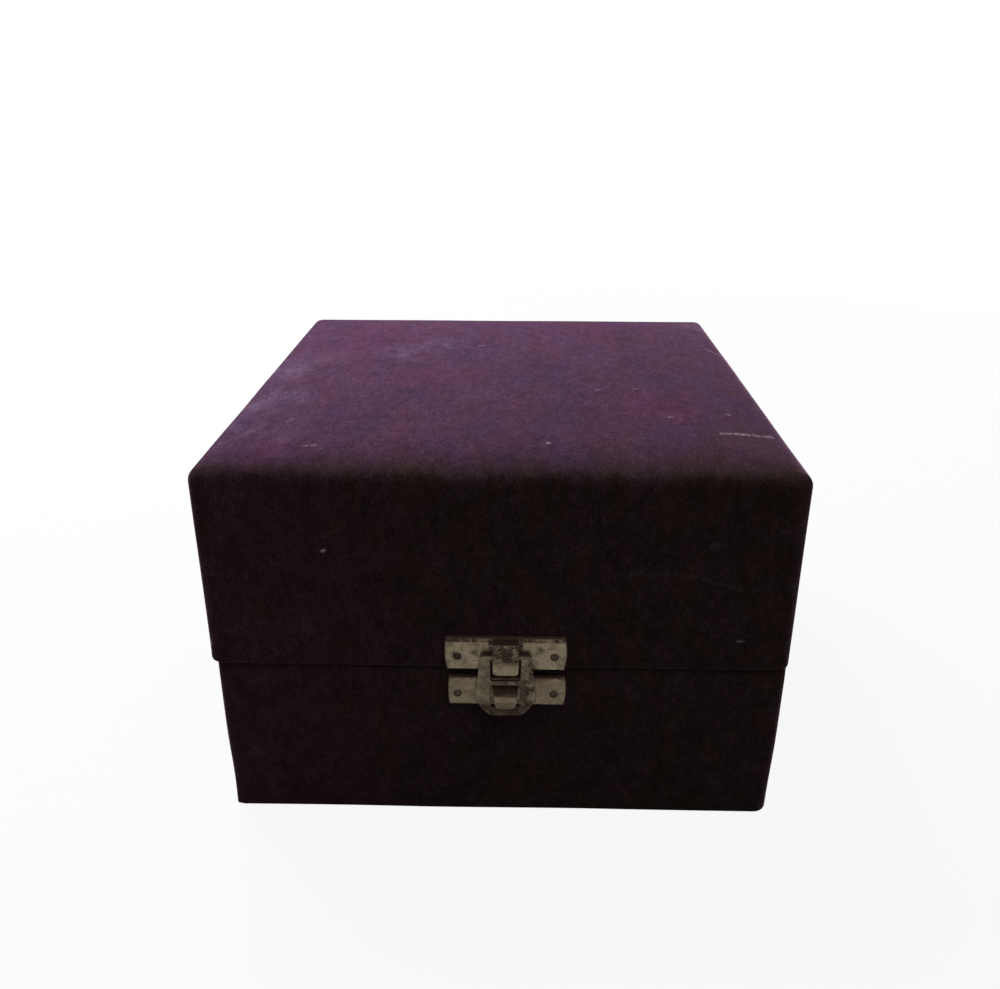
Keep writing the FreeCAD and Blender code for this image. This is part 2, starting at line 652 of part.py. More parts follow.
def keeper_plate():
    """Base plate, with a tongue that stands out through the hasp's window and flares at its tip."""
    root = "Sizes.plate_thickness / 2"
    knee = "Layout.root_z - Sizes.tongue_fall"
    flare = "Layout.tip_z + Sizes.flare_height"
    profile = side_profile("keeper_tongue_profile", "Layout.tongue_width", [
        (root, "Layout.root_z"), ("Layout.tongue_out", knee), ("Layout.tongue_out", flare),
        ("Layout.tongue_reach", "Layout.tip_z"),
        ("Layout.tongue_reach - Sizes.tongue_thickness", "Layout.tip_z"),
        ("Layout.tongue_in", flare), ("Layout.tongue_in", f"{knee} - Sizes.tongue_thickness / 2"),
        (root, "Layout.root_z - Sizes.tongue_thickness"),
    ], bends=[("Sizes.tongue_bend_radius", [("Layout.tongue_out", knee)])])
    half = "Layout.tongue_width / 2"
    tip = f"({half} - Sizes.tongue_taper)"
    tip_corners = [(f"-{tip}", "Layout.tip_z"), (tip, "Layout.tip_z")]
    outline = front_outline("keeper_tongue_outline", "Layout.tongue_reach",
                            [*tip_corners, (half, "Layout.root_z"), (f"-{half}", "Layout.root_z")],
                            [("Sizes.tongue_tip_radius", tip_corners)])
    tongue = common("keeper_tongue", at_latch(profile), at_latch(outline))
    blank = fused("keeper_plate_blank", [latch_plate_blank("keeper_plate_sheet", "Layout.keeper_z"), tongue])
    holes = nail_holes("keeper_plate", latch_spots("Layout.keeper_z"), "Layout.front_y", "-1",
                       "Sizes.plate_thickness", "Layout.latch_nail_seat")
    return cut("keeper_plate", blank, holes)


def latch_hasp():
    """Swinging hasp with a round top bar, two windows and a finger lip that turns out at the bottom."""
    top_half = "(Layout.window_width / 2 + Sizes.arm_top_width)"
    foot_half = "(Layout.window_width / 2 + Sizes.arm_foot_width)"
    flat_half = f"({foot_half} - Sizes.toe_flat_inset)"
    slope_z = "Layout.toe_z + Sizes.toe_slope_height"
    lip_end = "Layout.lip_z - Layout.lip_run"
    profile = side_profile("hasp_strip", f"2 * {foot_half}", [
        ("Layout.hasp_front", "Layout.pivot_z"), ("Layout.hasp_front", "Layout.lip_z + Layout.lip_miter"),
        ("Layout.hasp_back + Layout.lip_out + Layout.lip_slant", lip_end),
        ("Layout.hasp_back + Layout.lip_out", lip_end), ("Layout.hasp_back", "Layout.lip_z"),
        ("Layout.hasp_back", "Layout.pivot_z"),
    ][::-1])
    eye_top = "Layout.pivot_z + Sizes.eye_radius"
    window = "Layout.window_width / 2"
    bar_cut = "Layout.pivot_z + Sizes.eye_radius / 2"
    bar_half = f"({window} + Sizes.arm_top_width / 2)"
    shoulders, bar = [
        rod(name, "Sizes.eye_radius", f"2 * {half}",
            (f"Sizes.latch_offset - {half}", "Layout.front_y - Layout.pivot_out", "Layout.pivot_z"), SIDEWAYS)
        for name, half in (("hasp_shoulders", top_half), ("hasp_bar", bar_half))]
    toes = [(f"-{flat_half}", "Layout.toe_z"), (flat_half, "Layout.toe_z")]
    tops = [(top_half, eye_top), (f"-{top_half}", eye_top)]
    outline = front_outline("hasp_outline", "Layout.hasp_reach",
                            [*toes, (foot_half, slope_z), *tops, (f"-{foot_half}", slope_z)],
                            rounds=[("Sizes.shoulder_radius", tops), ("Sizes.toe_radius", toes)],
                            windows=[rectangle(f"-{window}", "Layout.window_z", window, "Layout.bar_bottom"),
                                     rectangle(f"-{window}", "Layout.bar_top", window, bar_cut)])
    plate = common("hasp_plate", fused("hasp_blank", [at_latch(profile), shoulders]), at_latch(outline))
    return fused("latch_hasp", [plate, bar])


def hinge(side, hand):
    """Butt hinge: a base leaf with two end knuckles, a lid leaf with the middle one, and the pin."""
    middle = f"{hand} * Layout.hinge_x"
    left = f"{middle} - Sizes.leaf_width / 2"
    centre = f"{middle} - Sizes.middle_knuckle / 2"
    line = ("Layout.hinge_y", "Layout.hinge_z")
    last = f"{middle} + Sizes.leaf_width / 2 - Layout.end_knuckle"

    def leaf(name, plate_z, strap_z, knuckles, bore, spots):
        plate = block(f"{name}_plate", ("Sizes.leaf_width", "Sizes.leaf_thickness", "Sizes.leaf_height"),
                      (left, "Layout.back_y", plate_z))
        pieces = [plate]
        for number, (x, length) in enumerate(knuckles, start=1):
            strap_size = (length, "Sizes.leaf_thickness", "Layout.leaf_start")
            strap = block(f"{name}_strap_{number}", strap_size, (x, "Layout.back_y", strap_z))
            knuckle = rod(f"{name}_knuckle_{number}", "Sizes.knuckle_radius", length, (x, *line), SIDEWAYS)
            pieces += [strap, knuckle]
        bored = rod(f"{name}_bore", bore, "Sizes.leaf_width", (left, *line), SIDEWAYS)
        holes = nail_holes(name, spots, "Layout.back_y", "1", "Sizes.leaf_thickness")
        return cut(name, fused(f"{name}_blank", pieces), [bored, *holes])

    base_leaf = leaf(f"{side}_hinge_base_leaf", "Layout.hinge_z - Layout.leaf_start - Sizes.leaf_height",
                     "Layout.hinge_z - Layout.leaf_start",
                     [(left, "Layout.end_knuckle"), (last, "Layout.end_knuckle")], "Sizes.pin_radius",
                     hinge_spots("-", [hand]))
    lid_leaf = leaf(f"{side}_hinge_lid_leaf", "Layout.hinge_z + Layout.leaf_start", "Layout.hinge_z",
                    [(centre, "Sizes.middle_knuckle")], "Sizes.pin_radius + Sizes.pin_clearance",
                    hinge_spots("+", [hand]))
    pin = rod(f"{side}_hinge_pin", "Sizes.pin_radius", "Sizes.leaf_width", (left, *line), SIDEWAYS)
    return [base_leaf, lid_leaf, pin]


def tray_box():
    """Floor and walls of the tray."""
    left = centred("Layout.tray_width")
    front = centred("Layout.tray_depth")
    wall = "Sizes.tray_wall_thickness"
    long_size = ("Layout.tray_width", wall, "Layout.tray_wall_height")
    short_size = (wall, "Layout.bed_depth", "Layout.tray_wall_height")
    side_y = centred("Layout.bed_depth")
    return [
        block("tray_floor", ("Layout.tray_width", "Layout.tray_depth", "Sizes.tray_floor_thickness"),
              (left, front, "Layout.tray_z")),
        block("tray_front_wall", long_size, (left, front, "Layout.tray_wall_z")),
        block("tray_back_wall", long_size, (left, f"Layout.tray_depth / 2 - {wall}", "Layout.tray_wall_z")),
        block("tray_left_wall", short_size, (left, side_y, "Layout.tray_wall_z")),
        block("tray_right_wall", short_size,
              (f"Layout.tray_width / 2 - {wall}", side_y, "Layout.tray_wall_z")),
    ]


def tray_ribs():
    """Ribs between the recesses: five beside recesses that narrow to the points, and a straight one."""
    head_x = point_x = centred("Layout.bed_width")
    ribs = []
    for number, kind in enumerate([*FAN_RECESSES, None], start=1):
        recess_x = f"{head_x} + Layout.head_rib"
        inset = f"(Sizes.{kind}_head_width - Sizes.{kind}_point_width) / 2" if kind else "0"
        rib = doc.addObject("Part::Wedge", f"bed_rib_{number}")
        for limit, expression in (("Xmin", point_x), ("Xmax", f"{recess_x} + {inset}"), ("X2min", head_x),
                                  ("X2max", recess_x), ("Ymin", "0"), ("Ymax", "Layout.recess_depth"),
                                  ("Zmin", "0"), ("Z2min", "0"), ("Zmax", "Sizes.bed_height"),
                                  ("Z2max", "Sizes.bed_height")):
            rib.setExpression(limit, expression)
        ribs.append(place(rib, ("0", centred("Layout.recess_depth"), "Layout.tray_wall_z")))
        if kind:
            head_x = f"{recess_x} + Sizes.{kind}_head_width"
            point_x = f"{head_x} - {inset}"
    ribs.append(block("bed_rib_6", ("Sizes.bow_rib_width", "Layout.recess_depth", "Sizes.bed_height"),
                      ("Layout.bed_width / 2 - Sizes.bow_rib_width", centred("Layout.recess_depth"),
                       "Layout.tray_wall_z")))
    return group("bed_ribs", ribs)


def tray_bed():
    """Ribs, end bars and the stop behind the bow instruments, and ribbon tabs to lift the tray by."""
    bar_size = ("Layout.bed_width", "Sizes.bed_bar_width", "Sizes.bed_height")
    left = centred("Layout.bed_width")
    front_bar = block("bed_front_bar", bar_size, (left, centred("Layout.bed_depth"), "Layout.tray_wall_z"))
    back_bar = block("bed_back_bar", bar_size,
                     (left, "Layout.bed_depth / 2 - Sizes.bed_bar_width", "Layout.tray_wall_z"))
    stop = block("bow_recess_stop", ("Sizes.bow_width", "Sizes.bow_stop_width", "Sizes.bed_height"),
                 ("Layout.bed_width / 2 - Sizes.bow_rib_width - Sizes.bow_width",
                  "Sizes.bow_length - Layout.recess_depth / 2", "Layout.tray_wall_z"))
    pull_size = ("Sizes.pull_thickness", "Sizes.pull_width",
                 "Layout.tray_wall_height - Sizes.bed_height + Sizes.pull_rise")
    pulls = [block(f"tray_pull_{side}", pull_size, (x, centred("Sizes.pull_width"), "Layout.pull_z"))
             for side, x in (("left", left), ("right", "Layout.bed_width / 2 - Sizes.pull_thickness"))]
    return [tray_ribs(), front_bar, back_bar, stop, group("tray_pulls", pulls)]


sub_parts = [
    *case_base(), keeper_plate(), keeper_nails, base_hinge_nails,
    *case_lid(), latch_plate(), latch_nails, lid_hinge_nails,
    latch_hasp(),
    *hinge("left", LEFT), *hinge("right", RIGHT),
    *tray_box(), *tray_bed(),
]
doc.recompute()

for obj in doc.Objects:
    if "Invalid" in obj.State or "Error" in obj.State:
        raise RuntimeError(f"{obj.Name} failed: {obj.State}")
for obj in sub_parts:
    if obj.Shape.isNull() or not obj.Shape.isValid():
        raise RuntimeError(f"{obj.Label} has no valid shape")

os.makedirs("parts", exist_ok=True)
for obj in sub_parts:
    obj.Shape.exportStep(f"parts/{obj.Label}.step")
print(f"{len(sub_parts)} sub-parts written")
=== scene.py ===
"""Looks of a velvet covered instrument case: worn velvet outside, satin and a fitted velvet bed inside, and
aged nickel on the latch and hinges."""
import math

import bmesh
import bpy
from mathutils import Matrix, Vector, noise


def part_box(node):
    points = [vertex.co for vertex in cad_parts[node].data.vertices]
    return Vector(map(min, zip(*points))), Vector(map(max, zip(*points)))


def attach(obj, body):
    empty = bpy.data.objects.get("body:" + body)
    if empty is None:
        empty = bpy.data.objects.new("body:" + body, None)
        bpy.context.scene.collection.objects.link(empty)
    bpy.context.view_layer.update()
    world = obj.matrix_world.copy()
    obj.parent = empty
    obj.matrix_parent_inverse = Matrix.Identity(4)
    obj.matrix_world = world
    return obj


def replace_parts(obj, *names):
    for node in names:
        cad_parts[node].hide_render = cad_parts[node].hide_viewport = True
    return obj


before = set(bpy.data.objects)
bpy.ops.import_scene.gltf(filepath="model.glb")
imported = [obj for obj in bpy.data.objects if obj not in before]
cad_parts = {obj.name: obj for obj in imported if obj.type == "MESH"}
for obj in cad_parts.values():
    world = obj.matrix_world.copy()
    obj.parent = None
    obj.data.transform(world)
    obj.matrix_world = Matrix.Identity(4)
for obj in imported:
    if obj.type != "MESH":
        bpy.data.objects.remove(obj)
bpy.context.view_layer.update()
scene = bpy.context.scene
scene.view_settings.view_transform = "Standard"
MM = 0.001
TOUCH = 0.01 * MM
MERGE = TOUCH / 10
SHARP_EDGE = math.radians(35)
FLAT_JOINT = math.radians(0.5)
UPRIGHT_SHARE = 0.9

# Camera, fitted to the edges of the case in a picture 1000 pixels wide
CAMERA_PLACE = Vector((3.517, -270.1, 173.256)) * MM
CAMERA_YAW = math.radians(1.0888)
CAMERA_PITCH = math.radians(23.3948)
CAMERA_ROLL = math.radians(0.1631)
FOCAL_PIXELS = 959.333
PICTURE_WIDTH = 1000
SENSOR_WIDTH = 36.0
CLIP_START = 10 * MM

# Soft lamps, as name, place and size in metres, and power in watts. They face one point in the case
LAMPS = [("key", (-0.3, 0.38, 0.6), 0.45, 4.6), ("fill", (0.25, -0.5, 1.1), 0.6, 1.9)]
LAMP_AIM = Vector((0, 0, 0.05))

# White surroundings, and the floor with its faint shadow, which fades out away from the case, in metres
SURROUND_LIGHT = 0.18
FLOOR_HALF = 3.0
SHADOW_SHARE = 0.09
SHADOW_NEAR = 0.15
SHADOW_FAR = 0.7

# Cloth over the outside of the case. At the foot its sides lean in, and its front left corner is pulled out
# by a share of the way to a sharp one
CLOTH = 0.9 * MM
CORNER_RADIUS = 3.5 * MM
TOP_EDGE_RADIUS = 3.2 * MM
FOOT_EDGE_RADIUS = 0.7 * MM
RIM_EDGE_RADIUS = 0.6 * MM
CORNER_STEPS = 6
RIM_STEPS = 3
COVER_CELL = 4.0 * MM
FOOT_PINCH = 0.45
FOOT_PINCH_HEIGHT = 12 * MM
FOOT_LEAN = 0.65 * MM
FOOT_LEAN_HEIGHT = 24 * MM
DENT_LENGTH = 34 * MM
DENT_DEPTH = 0.12 * MM

# Warp of the front rims: they sag, most in the middle, and this fades out along the sides. The lid's rim
# stands proud of the base's at the front
RIM_MIDDLE = -0.7 * MM
RIM_ENDS = -0.5 * MM
RIM_WARP_HEIGHT = 12 * MM
RIM_WARP_DEPTH = 18 * MM
LID_RIM_PROUD = 0.35 * MM
BASE_RIM_BACK = 0.75 * MM
RIM_STEP_HEIGHT = 4.0 * MM

# Crown of the padding under the cloth on top of the lid
CROWN = 1.3 * MM
CROWN_MARGIN = 20 * MM

# Painted light on top of the lid, with some fading: the top is painted paler from its front edge, which is
# left dark as painted shade, to the back and towards the left, as the pile's sheen and the lamp from the back
# left light it; and places that differ from it, as (x, y, radius) in millimetres
FADE_AND_LIGHT_START_Y = -75 * MM
FADE_AND_LIGHT_FULL_Y = -60 * MM
FADE_AND_LIGHT_AT_FRONT = 0.5
PAINTED_LIGHT_LEFT_GAIN = 0.22
DUSTY_SPOTS = [(-67, 6, 26), (-66, -26, 22), (-64, -46, 22), (-30, 22, 14), (-20, 34, 12), (66, 60, 20)]
BLUSH_SPOTS = [(-57, -62, 14), (-42, 38, 24), (-22, -4, 18), (26, 58, 20), (40, -30, 22)]
# Painted light from the left: the lid's front is painted pinker towards its left end
FRONT_PAINTED_LIGHT = 0.2

# Attributes that the outer velvet's material reads. A point of it faces up or forwards as that part of its
# normal grows through the range, and lies on the flat of the top past the last value
VELVET_LAYERS = ("fade_and_light", "dust", "blush_and_light", "wear")
FACING = (0.2, 0.8)
FLAT_TOP = 0.9

# Bare marks in the pile on the lid, as start, end, half width in millimetres, and strength. Their edges
# wander, and depth counts little, so that the crown makes none narrower
MARK_WOBBLE = 2 * MM
MARK_WOBBLE_LENGTH = 1.6 * MM
MARK_DEPTH_SHARE = 0.05
TOP_MARKS = [((53.2, -49.7), (65.1, -49.3), 1.1, 0.9), ((63.8, 32.5), (68.7, 23.1), 0.7, 0.7),
             ((-9, 31), (-7, 32), 0.6, 0.6), ((-47.5, -61), (-44, -60.4), 0.7, 0.5),
             ((57.0, -34.7), (57.5, -34.7), 1.0, 1.0), ((10.7, -57.8), (11, -57.8), 0.65, 0.9),
             ((42.0, -38.3), (42.3, -38.3), 0.8, 0.9), ((36.2, -14.2), (36.5, -14.2), 0.8, 0.8),
             ((25.4, -15.4), (25.7, -15.4), 0.7, 0.8)]
FRONT_MARKS = [((-40.7, 74.5), (-40.4, 74.5), 0.45, 1.0), ((56.2, 51.9), (57.6, 51.6), 0.5, 0.35),
               ((-70, 50.6), (-69.6, 48.4), 0.5, 0.6), ((-62.2, 68.9), (-61.6, 68.9), 0.6, 0.1),
               ((27.7, 69.2), (41.0, 69.4), 0.9, 0.05), ((41.0, 69.4), (55.9, 65.6), 0.9, 0.05),
               ((47.6, 76.5), (50.0, 76.5), 1.2, 0.07)]

# Satin lining and the cushion in the lid
LINING = 0.7 * MM
LINING_CORNER = 2.4 * MM
LINING_FOLD = 1.4 * MM
LINING_CORNER_STEPS = 4
LINING_FOLD_STEPS = 3
LINING_CELL = 3.0 * MM
PUCKER_LENGTH = 9 * MM
PUCKER_DEPTH = 0.18 * MM
CUSHION_START = 3.2 * MM
CUSHION_INSET = 0.8 * MM
CUSHION_VOXEL = 2.0 * MM
CUSHION_FRAMES = 20
CUSHION_PRESSURE = 9.0
CUSHION_CAP = 3.8 * MM
GATHER_LENGTH = 3.5 * MM
GATHER_REACH = 15 * MM
GATHER_DEPTH = 1.0 * MM

# Tray and its bed
TRAY_RIM = 0.8 * MM
BED_ROUND = 2.0 * MM
BED_STEPS = 4
BED_GAP = 0.1 * MM
BED_CELL = 2.6 * MM
BED_CLOTH = 0.6 * MM
BED_SOFTNESS = 0.12 * MM
BED_WAVE = 6.0 * MM
RIBBON = 0.24 * MM
RIBBON_LOOP = 0.42 * MM
RIBBON_LEAN = 1.3 * MM
RIBBON_LEG_STEPS = 8
RIBBON_LOOP_STEPS = 6
RIBBON_CUTS = 5

# Worn edges of the metal, and the shapes of the latch's pressed pieces. A place on them is in millimetres
METAL_EDGE = 0.11 * MM
METAL_STEPS = 2
PRESSING_VOXEL = 0.14 * MM
PRESSING_SMOOTHING = 13
# The latch's rubbed edges are lightened partly as wear and partly as a painted highlight
RUBBED_HIGHLIGHT_FROM = 1.004
RUBBED_HIGHLIGHT_TO = 1.03
RUBBED_HIGHLIGHT_MOST = 0.22
HASP_LIP_Z = 35.5
HASP_LIP_SHARE = 0.68
HASP_TOP_Z = 48.7
HASP_BULGE = 0.25
LATCH_MIDDLE_X = 1.3
TAB_HALF_WIDTH = 3.2
KEEPER_LOW_Z = 35.0
KEEPER_HIGH_Z = 40.4
KEEPER_SHARE = 0.72
KEEPER_LEFT_X = -11.8
KEEPER_LEFT_SHARE = 0.56

# Grime and painted shadow on the latch: how much of it a place holds, and in millimetres where it starts
# and is full
LIP_GRIME = 0.95
LIP_GRIME_Z = (35.8, 33.0)
# Painted shadow of the tab on the hasp's crossbar
BAR_TAB_SHADOW = 0.75
BAR_LOW_Z = 40.3
BAR_HIGH_Z = 42.1
BAR_END = (0.6, -0.4)
ARM_GRIME = 0.42
RIGHT_ARM_GRIME = 0.3
RIGHT_ARM_X = (3.5, 6.5)
RAISED_Y = (-76.4, -76.8)
KEEPER_GRIME = 0.28
# Painted shadow along the keeper's top edge, under the upper plate and the hasp
KEEPER_TOP_SHADOW = 0.6
KEEPER_TOP_Z = (40.6, 41.4)
# Darker towards the keeper's foot
KEEPER_FOOT_DARKENING = 0.3
KEEPER_FOOT_Z = (34.2, 33.2)
# Painted shadow of the hasp's crossbar on the tongue's root
TONGUE_ROOT_Z = (36.9, 37.9)
BAND_GRIME = 0.75
BAND_Z = (51.0, 51.5)
TAB_GRIME = 0.9
TAB_GRIME_Z = (45.4, 48.4)
# Painted shadow in the gap on the plate beside the tab
BESIDE_TAB_SHADOW = (1.2, 0.5)


def linear(colour):
    """sRGB hex colour as linear RGBA."""
    channels = [int(colour[start:start + 2], 16) / 255 for start in (1, 3, 5)]
    return [c / 12.92 if c <= 0.04045 else ((c + 0.055) / 1.055) ** 2.4 for c in channels] + [1.0]


def add(tree, kind, inputs=None, output=None, **settings):
    """Adds a node, sets or links its inputs by name or number, and gives the named or the first output."""
    node = tree.nodes.new("ShaderNode" + kind)
    for name, value in settings.items():
        setattr(node, name, value)
    for name, value in (inputs or {}).items():
        named = [s for s in node.inputs if s.enabled and s.name == name]
        socket = named[0] if named else node.inputs[name]
        if isinstance(value, bpy.types.NodeSocket):
            tree.links.new(value, socket)
        else:
            socket.default_value = value
    return next((s for s in node.outputs if s.enabled and output in (None, s.name)), None)


def material(name, paint, *colours):
    """Material whose shader comes from a paint function, which gets the tree and the Object coordinates."""
    made = bpy.data.materials.new(name)
    made.use_nodes = True
    tree = made.node_tree
    tree.nodes.clear()
    place = add(tree, "TexCoord", output="Object")
    add(tree, "OutputMaterial", {"Surface": paint(tree, place, *colours)})
    return made


def shaded(tree, colour, pattern, least, most, start=0.3, end=0.7):
    """A colour made darker and lighter by a pattern, from the least share of it to the most."""
    shade = add(tree, "MapRange", {"Value": pattern, "From Min": start, "From Max": end, "To Min": least,
                                   "To Max": most})
    return add(tree, "Mix", {"Factor": 1.0, "A": colour, "B": shade}, data_type="RGBA", blend_type="MULTIPLY")


def mark_share(tree, place, start, end, half_width, strength):
    """The strength of a straight mark along its line on the cloth, down to 0 beside it."""
    run = end - start
    from_start = add(tree, "VectorMath", {0: place, 1: start}, operation="SUBTRACT")
    along = add(tree, "VectorMath", {0: from_start, 1: run / run.length_squared}, "Value",
                operation="DOT_PRODUCT")
    along = add(tree, "MapRange", {"Value": along})
    nearest = add(tree, "VectorMath", {0: run, "Scale": along}, operation="SCALE")
    away = add(tree, "VectorMath", {0: from_start, 1: nearest}, "Value", operation="DISTANCE")
    return add(tree, "MapRange", {"Value": away, "From Min": half_width, "From Max": half_width / 3,
                                  "To Max": strength})


def bare_marks(tree, place):
    """All the bare marks on the lid, with uneven edges."""
    flat = MARK_DEPTH_SHARE
    wobble = add(tree, "TexNoise", {"Vector": place, "Scale": 1 / MARK_WOBBLE_LENGTH, "Detail": 3.0}, "Color")
    wobble = add(tree, "VectorMath", {0: wobble, 1: (0.5, 0.5, 0.5)}, operation="SUBTRACT")
    place = add(tree, "VectorMath", {0: wobble, 1: [MARK_WOBBLE] * 3, 2: place}, operation="MULTIPLY_ADD")
    on_top = add(tree, "VectorMath", {0: place, 1: (1, 1, flat)}, operation="MULTIPLY")
    on_front = add(tree, "VectorMath", {0: place, 1: (1, flat, 1)}, operation="MULTIPLY")
    low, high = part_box("lid_cover")
    marks = [(on_top, [Vector((x * MM, y * MM, high.z * flat)) for x, y in ends], width, strength)
             for *ends, width, strength in TOP_MARKS]
    marks += [(on_front, [Vector((x * MM, low.y * flat, z * MM)) for x, z in ends], width, strength)
              for *ends, width, strength in FRONT_MARKS]
    shares = [mark_share(tree, side, *ends, width * MM, strength) for side, ends, width, strength in marks]
    bare = shares[0]
    for share in shares[1:]:
        bare = add(tree, "Math", {0: bare, 1: share}, operation="MAXIMUM")
    return bare


def worn_velvet(tree, place):
    """Cotton velvet with a short cut pile: black between the fibres and mauve where they are seen from the
    side. The top is painted paler towards the back and the left, as painted light of the pile's sheen and the
    lamp from the back left, with some fading, and its front edge is left darker as painted shade. Handling
    has rubbed the corners, dust lies in the pile, and the left of the front is painted pinker as painted
    light from the left. The pile was brushed from front to back, which draws its patches out that way."""
    nap_place = add(tree, "Mapping", {"Vector": place, "Scale": (1.0, 0.45, 0.7)})
    patch = add(tree, "TexNoise",
                {"Vector": nap_place, "Scale": 1 / (9 * MM), "Detail": 4.0, "Distortion": 0.4})
    patch = add(tree, "MapRange", {"Value": patch, "From Min": 0.36, "From Max": 0.64})
    cloud = add(tree, "TexNoise",
                {"Vector": nap_place, "Scale": 1 / (7 * MM), "Detail": 4.0, "Roughness": 0.65})
    nap = add(tree, "TexNoise",
              {"Vector": nap_place, "Scale": 1 / (2.2 * MM), "Detail": 3.0, "Roughness": 0.6})
    # The pile's tufts are about 0.2 mm apart and are drawn at 0.5 mm, so that they show
    tuft = add(tree, "TexNoise",
               {"Vector": nap_place, "Scale": 1 / (0.5 * MM), "Detail": 2.0, "Roughness": 0.7})
    fade_and_light, dust, blush_and_light, wear = [add(tree, "Attribute", output="Fac", attribute_name=name)
                               for name in VELVET_LAYERS]
    dark = add(tree, "Mix", {"Factor": patch, "A": linear("#302228"), "B": linear("#30241f")},
               data_type="RGBA")
    pale = add(tree, "Mix", {"Factor": patch, "A": linear("#583e5d"), "B": linear("#5e3c53")},
               data_type="RGBA")
    # Painted light and shade with some fading: the top goes from the dark colour at its front edge to the
    # pale one at the back and left
    colour = add(tree, "Mix", {"Factor": fade_and_light, "A": dark, "B": pale}, data_type="RGBA")
    # Flushed spots on the top, and painted light from the left on the front
    blush_and_light = add(tree, "Math", {0: blush_and_light, 1: cloud}, operation="MULTIPLY")
    colour = add(tree, "Mix", {"Factor": blush_and_light, "A": colour, "B": linear("#5f3450")}, data_type="RGBA")
    dusty = add(tree, "MapRange", {"Value": cloud, "From Min": 0.32, "From Max": 0.72, "To Max": 0.65})
    dust = add(tree, "Math", {0: dust, 1: dusty}, operation="MULTIPLY")
    colour = add(tree, "Mix", {"Factor": dust, "A": colour, "B": linear("#77637e")}, data_type="RGBA")
    rubbed = add(tree, "MapRange", {"Value": cloud, "From Min": 0.4, "From Max": 0.7, "To Max": 0.75})
    rubbed = add(tree, "Math", {0: rubbed, 1: wear}, operation="MULTIPLY")
    colour = add(tree, "Mix", {"Factor": rubbed, "A": colour, "B": linear("#453739")}, data_type="RGBA")
    for pattern, least, most in ((cloud, 0.84, 1.16), (nap, 0.78, 1.22), (tuft, 0.6, 1.4)):
        colour = shaded(tree, colour, pattern, least, most)
    broken = add(tree, "Math", {0: nap, 1: tuft}, operation="MULTIPLY")
    broken = add(tree, "MapRange", {"Value": broken, "From Min": 0.2, "From Max": 0.32, "To Min": 0.2})
    bare = add(tree, "Math", {0: bare_marks(tree, place), 1: broken}, operation="MULTIPLY")
    colour = add(tree, "Mix", {"Factor": bare, "A": colour, "B": linear("#a08a90")}, data_type="RGBA")
    rough = add(tree, "MapRange", {"Value": cloud, "To Min": 0.85, "To Max": 1.0})
    bump = add(tree, "Bump", {"Height": cloud, "Strength": 0.3, "Distance": 1.0 * MM})
    bump = add(tree, "Bump", {"Height": nap, "Strength": 0.3, "Distance": 0.4 * MM, "Normal": bump})
    bump = add(tree, "Bump", {"Height": tuft, "Strength": 0.4, "Distance": 0.22 * MM, "Normal": bump})
    return add(tree, "BsdfPrincipled", {
        "Base Color": colour, "Roughness": rough, "Specular IOR Level": 0.0, "Sheen Weight": 1.0,
        "Sheen Roughness": 0.32, "Sheen Tint": linear("#b68cad"), "Normal": bump})


def bed_velvet(tree, place):
    """The same cotton pile, kept out of the light: an even dark violet."""
    cloud = add(tree, "TexNoise", {"Vector": place, "Scale": 1 / (11 * MM), "Detail": 3.0})
    tuft = add(tree, "TexNoise", {"Vector": place, "Scale": 1 / (0.5 * MM), "Detail": 2.0, "Roughness": 0.7})
    colour = add(tree, "Mix", {"Factor": cloud, "A": linear("#2b1933"), "B": linear("#3d2545")},
                 data_type="RGBA")
    colour = shaded(tree, colour, tuft, 0.6, 1.4)
    rough = add(tree, "MapRange", {"Value": cloud, "To Min": 0.85, "To Max": 1.0})
    bump = add(tree, "Bump", {"Height": cloud, "Strength": 0.3, "Distance": 0.8 * MM})
    bump = add(tree, "Bump", {"Height": tuft, "Strength": 0.35, "Distance": 0.25 * MM, "Normal": bump})
    return add(tree, "BsdfPrincipled", {
        "Base Color": colour, "Roughness": rough, "Specular IOR Level": 0.0, "Sheen Weight": 0.8,
        "Sheen Roughness": 0.4, "Sheen Tint": linear("#a27cb4"), "Normal": bump})


def aged_satin(tree, place):
    """Acetate satin that has yellowed: long smooth floats that shine across their length, with tea coloured
    stains."""
    stain = add(tree, "TexNoise", {"Vector": place, "Scale": 1 / (38 * MM), "Detail": 4.0, "Roughness": 0.6})
    stain = add(tree, "MapRange", {"Value": stain, "From Min": 0.42, "From Max": 0.72})
    float_place = add(tree, "Mapping", {"Vector": place, "Scale": (1.0, 0.08, 1.0)})
    # Satin floats are about 0.1 mm wide and are drawn at 0.4 mm, so that they show
    floats = add(tree, "TexNoise", {"Vector": float_place, "Scale": 1 / (0.4 * MM), "Detail": 2.0})
    colour = add(tree, "Mix", {"Factor": stain, "A": linear("#d3c5a4"), "B": linear("#b79f74")},
                 data_type="RGBA")
    colour = shaded(tree, colour, floats, 0.9, 1.06)
    rough = add(tree, "MapRange", {"Value": floats, "To Min": 0.32, "To Max": 0.52})
    bump = add(tree, "Bump", {"Height": floats, "Strength": 0.25, "Distance": 0.1 * MM})
    return add(tree, "BsdfPrincipled", {
        "Base Color": colour, "Roughness": rough, "Specular IOR Level": 0.5, "Anisotropic": 0.5,
        "Sheen Weight": 0.15, "Normal": bump})


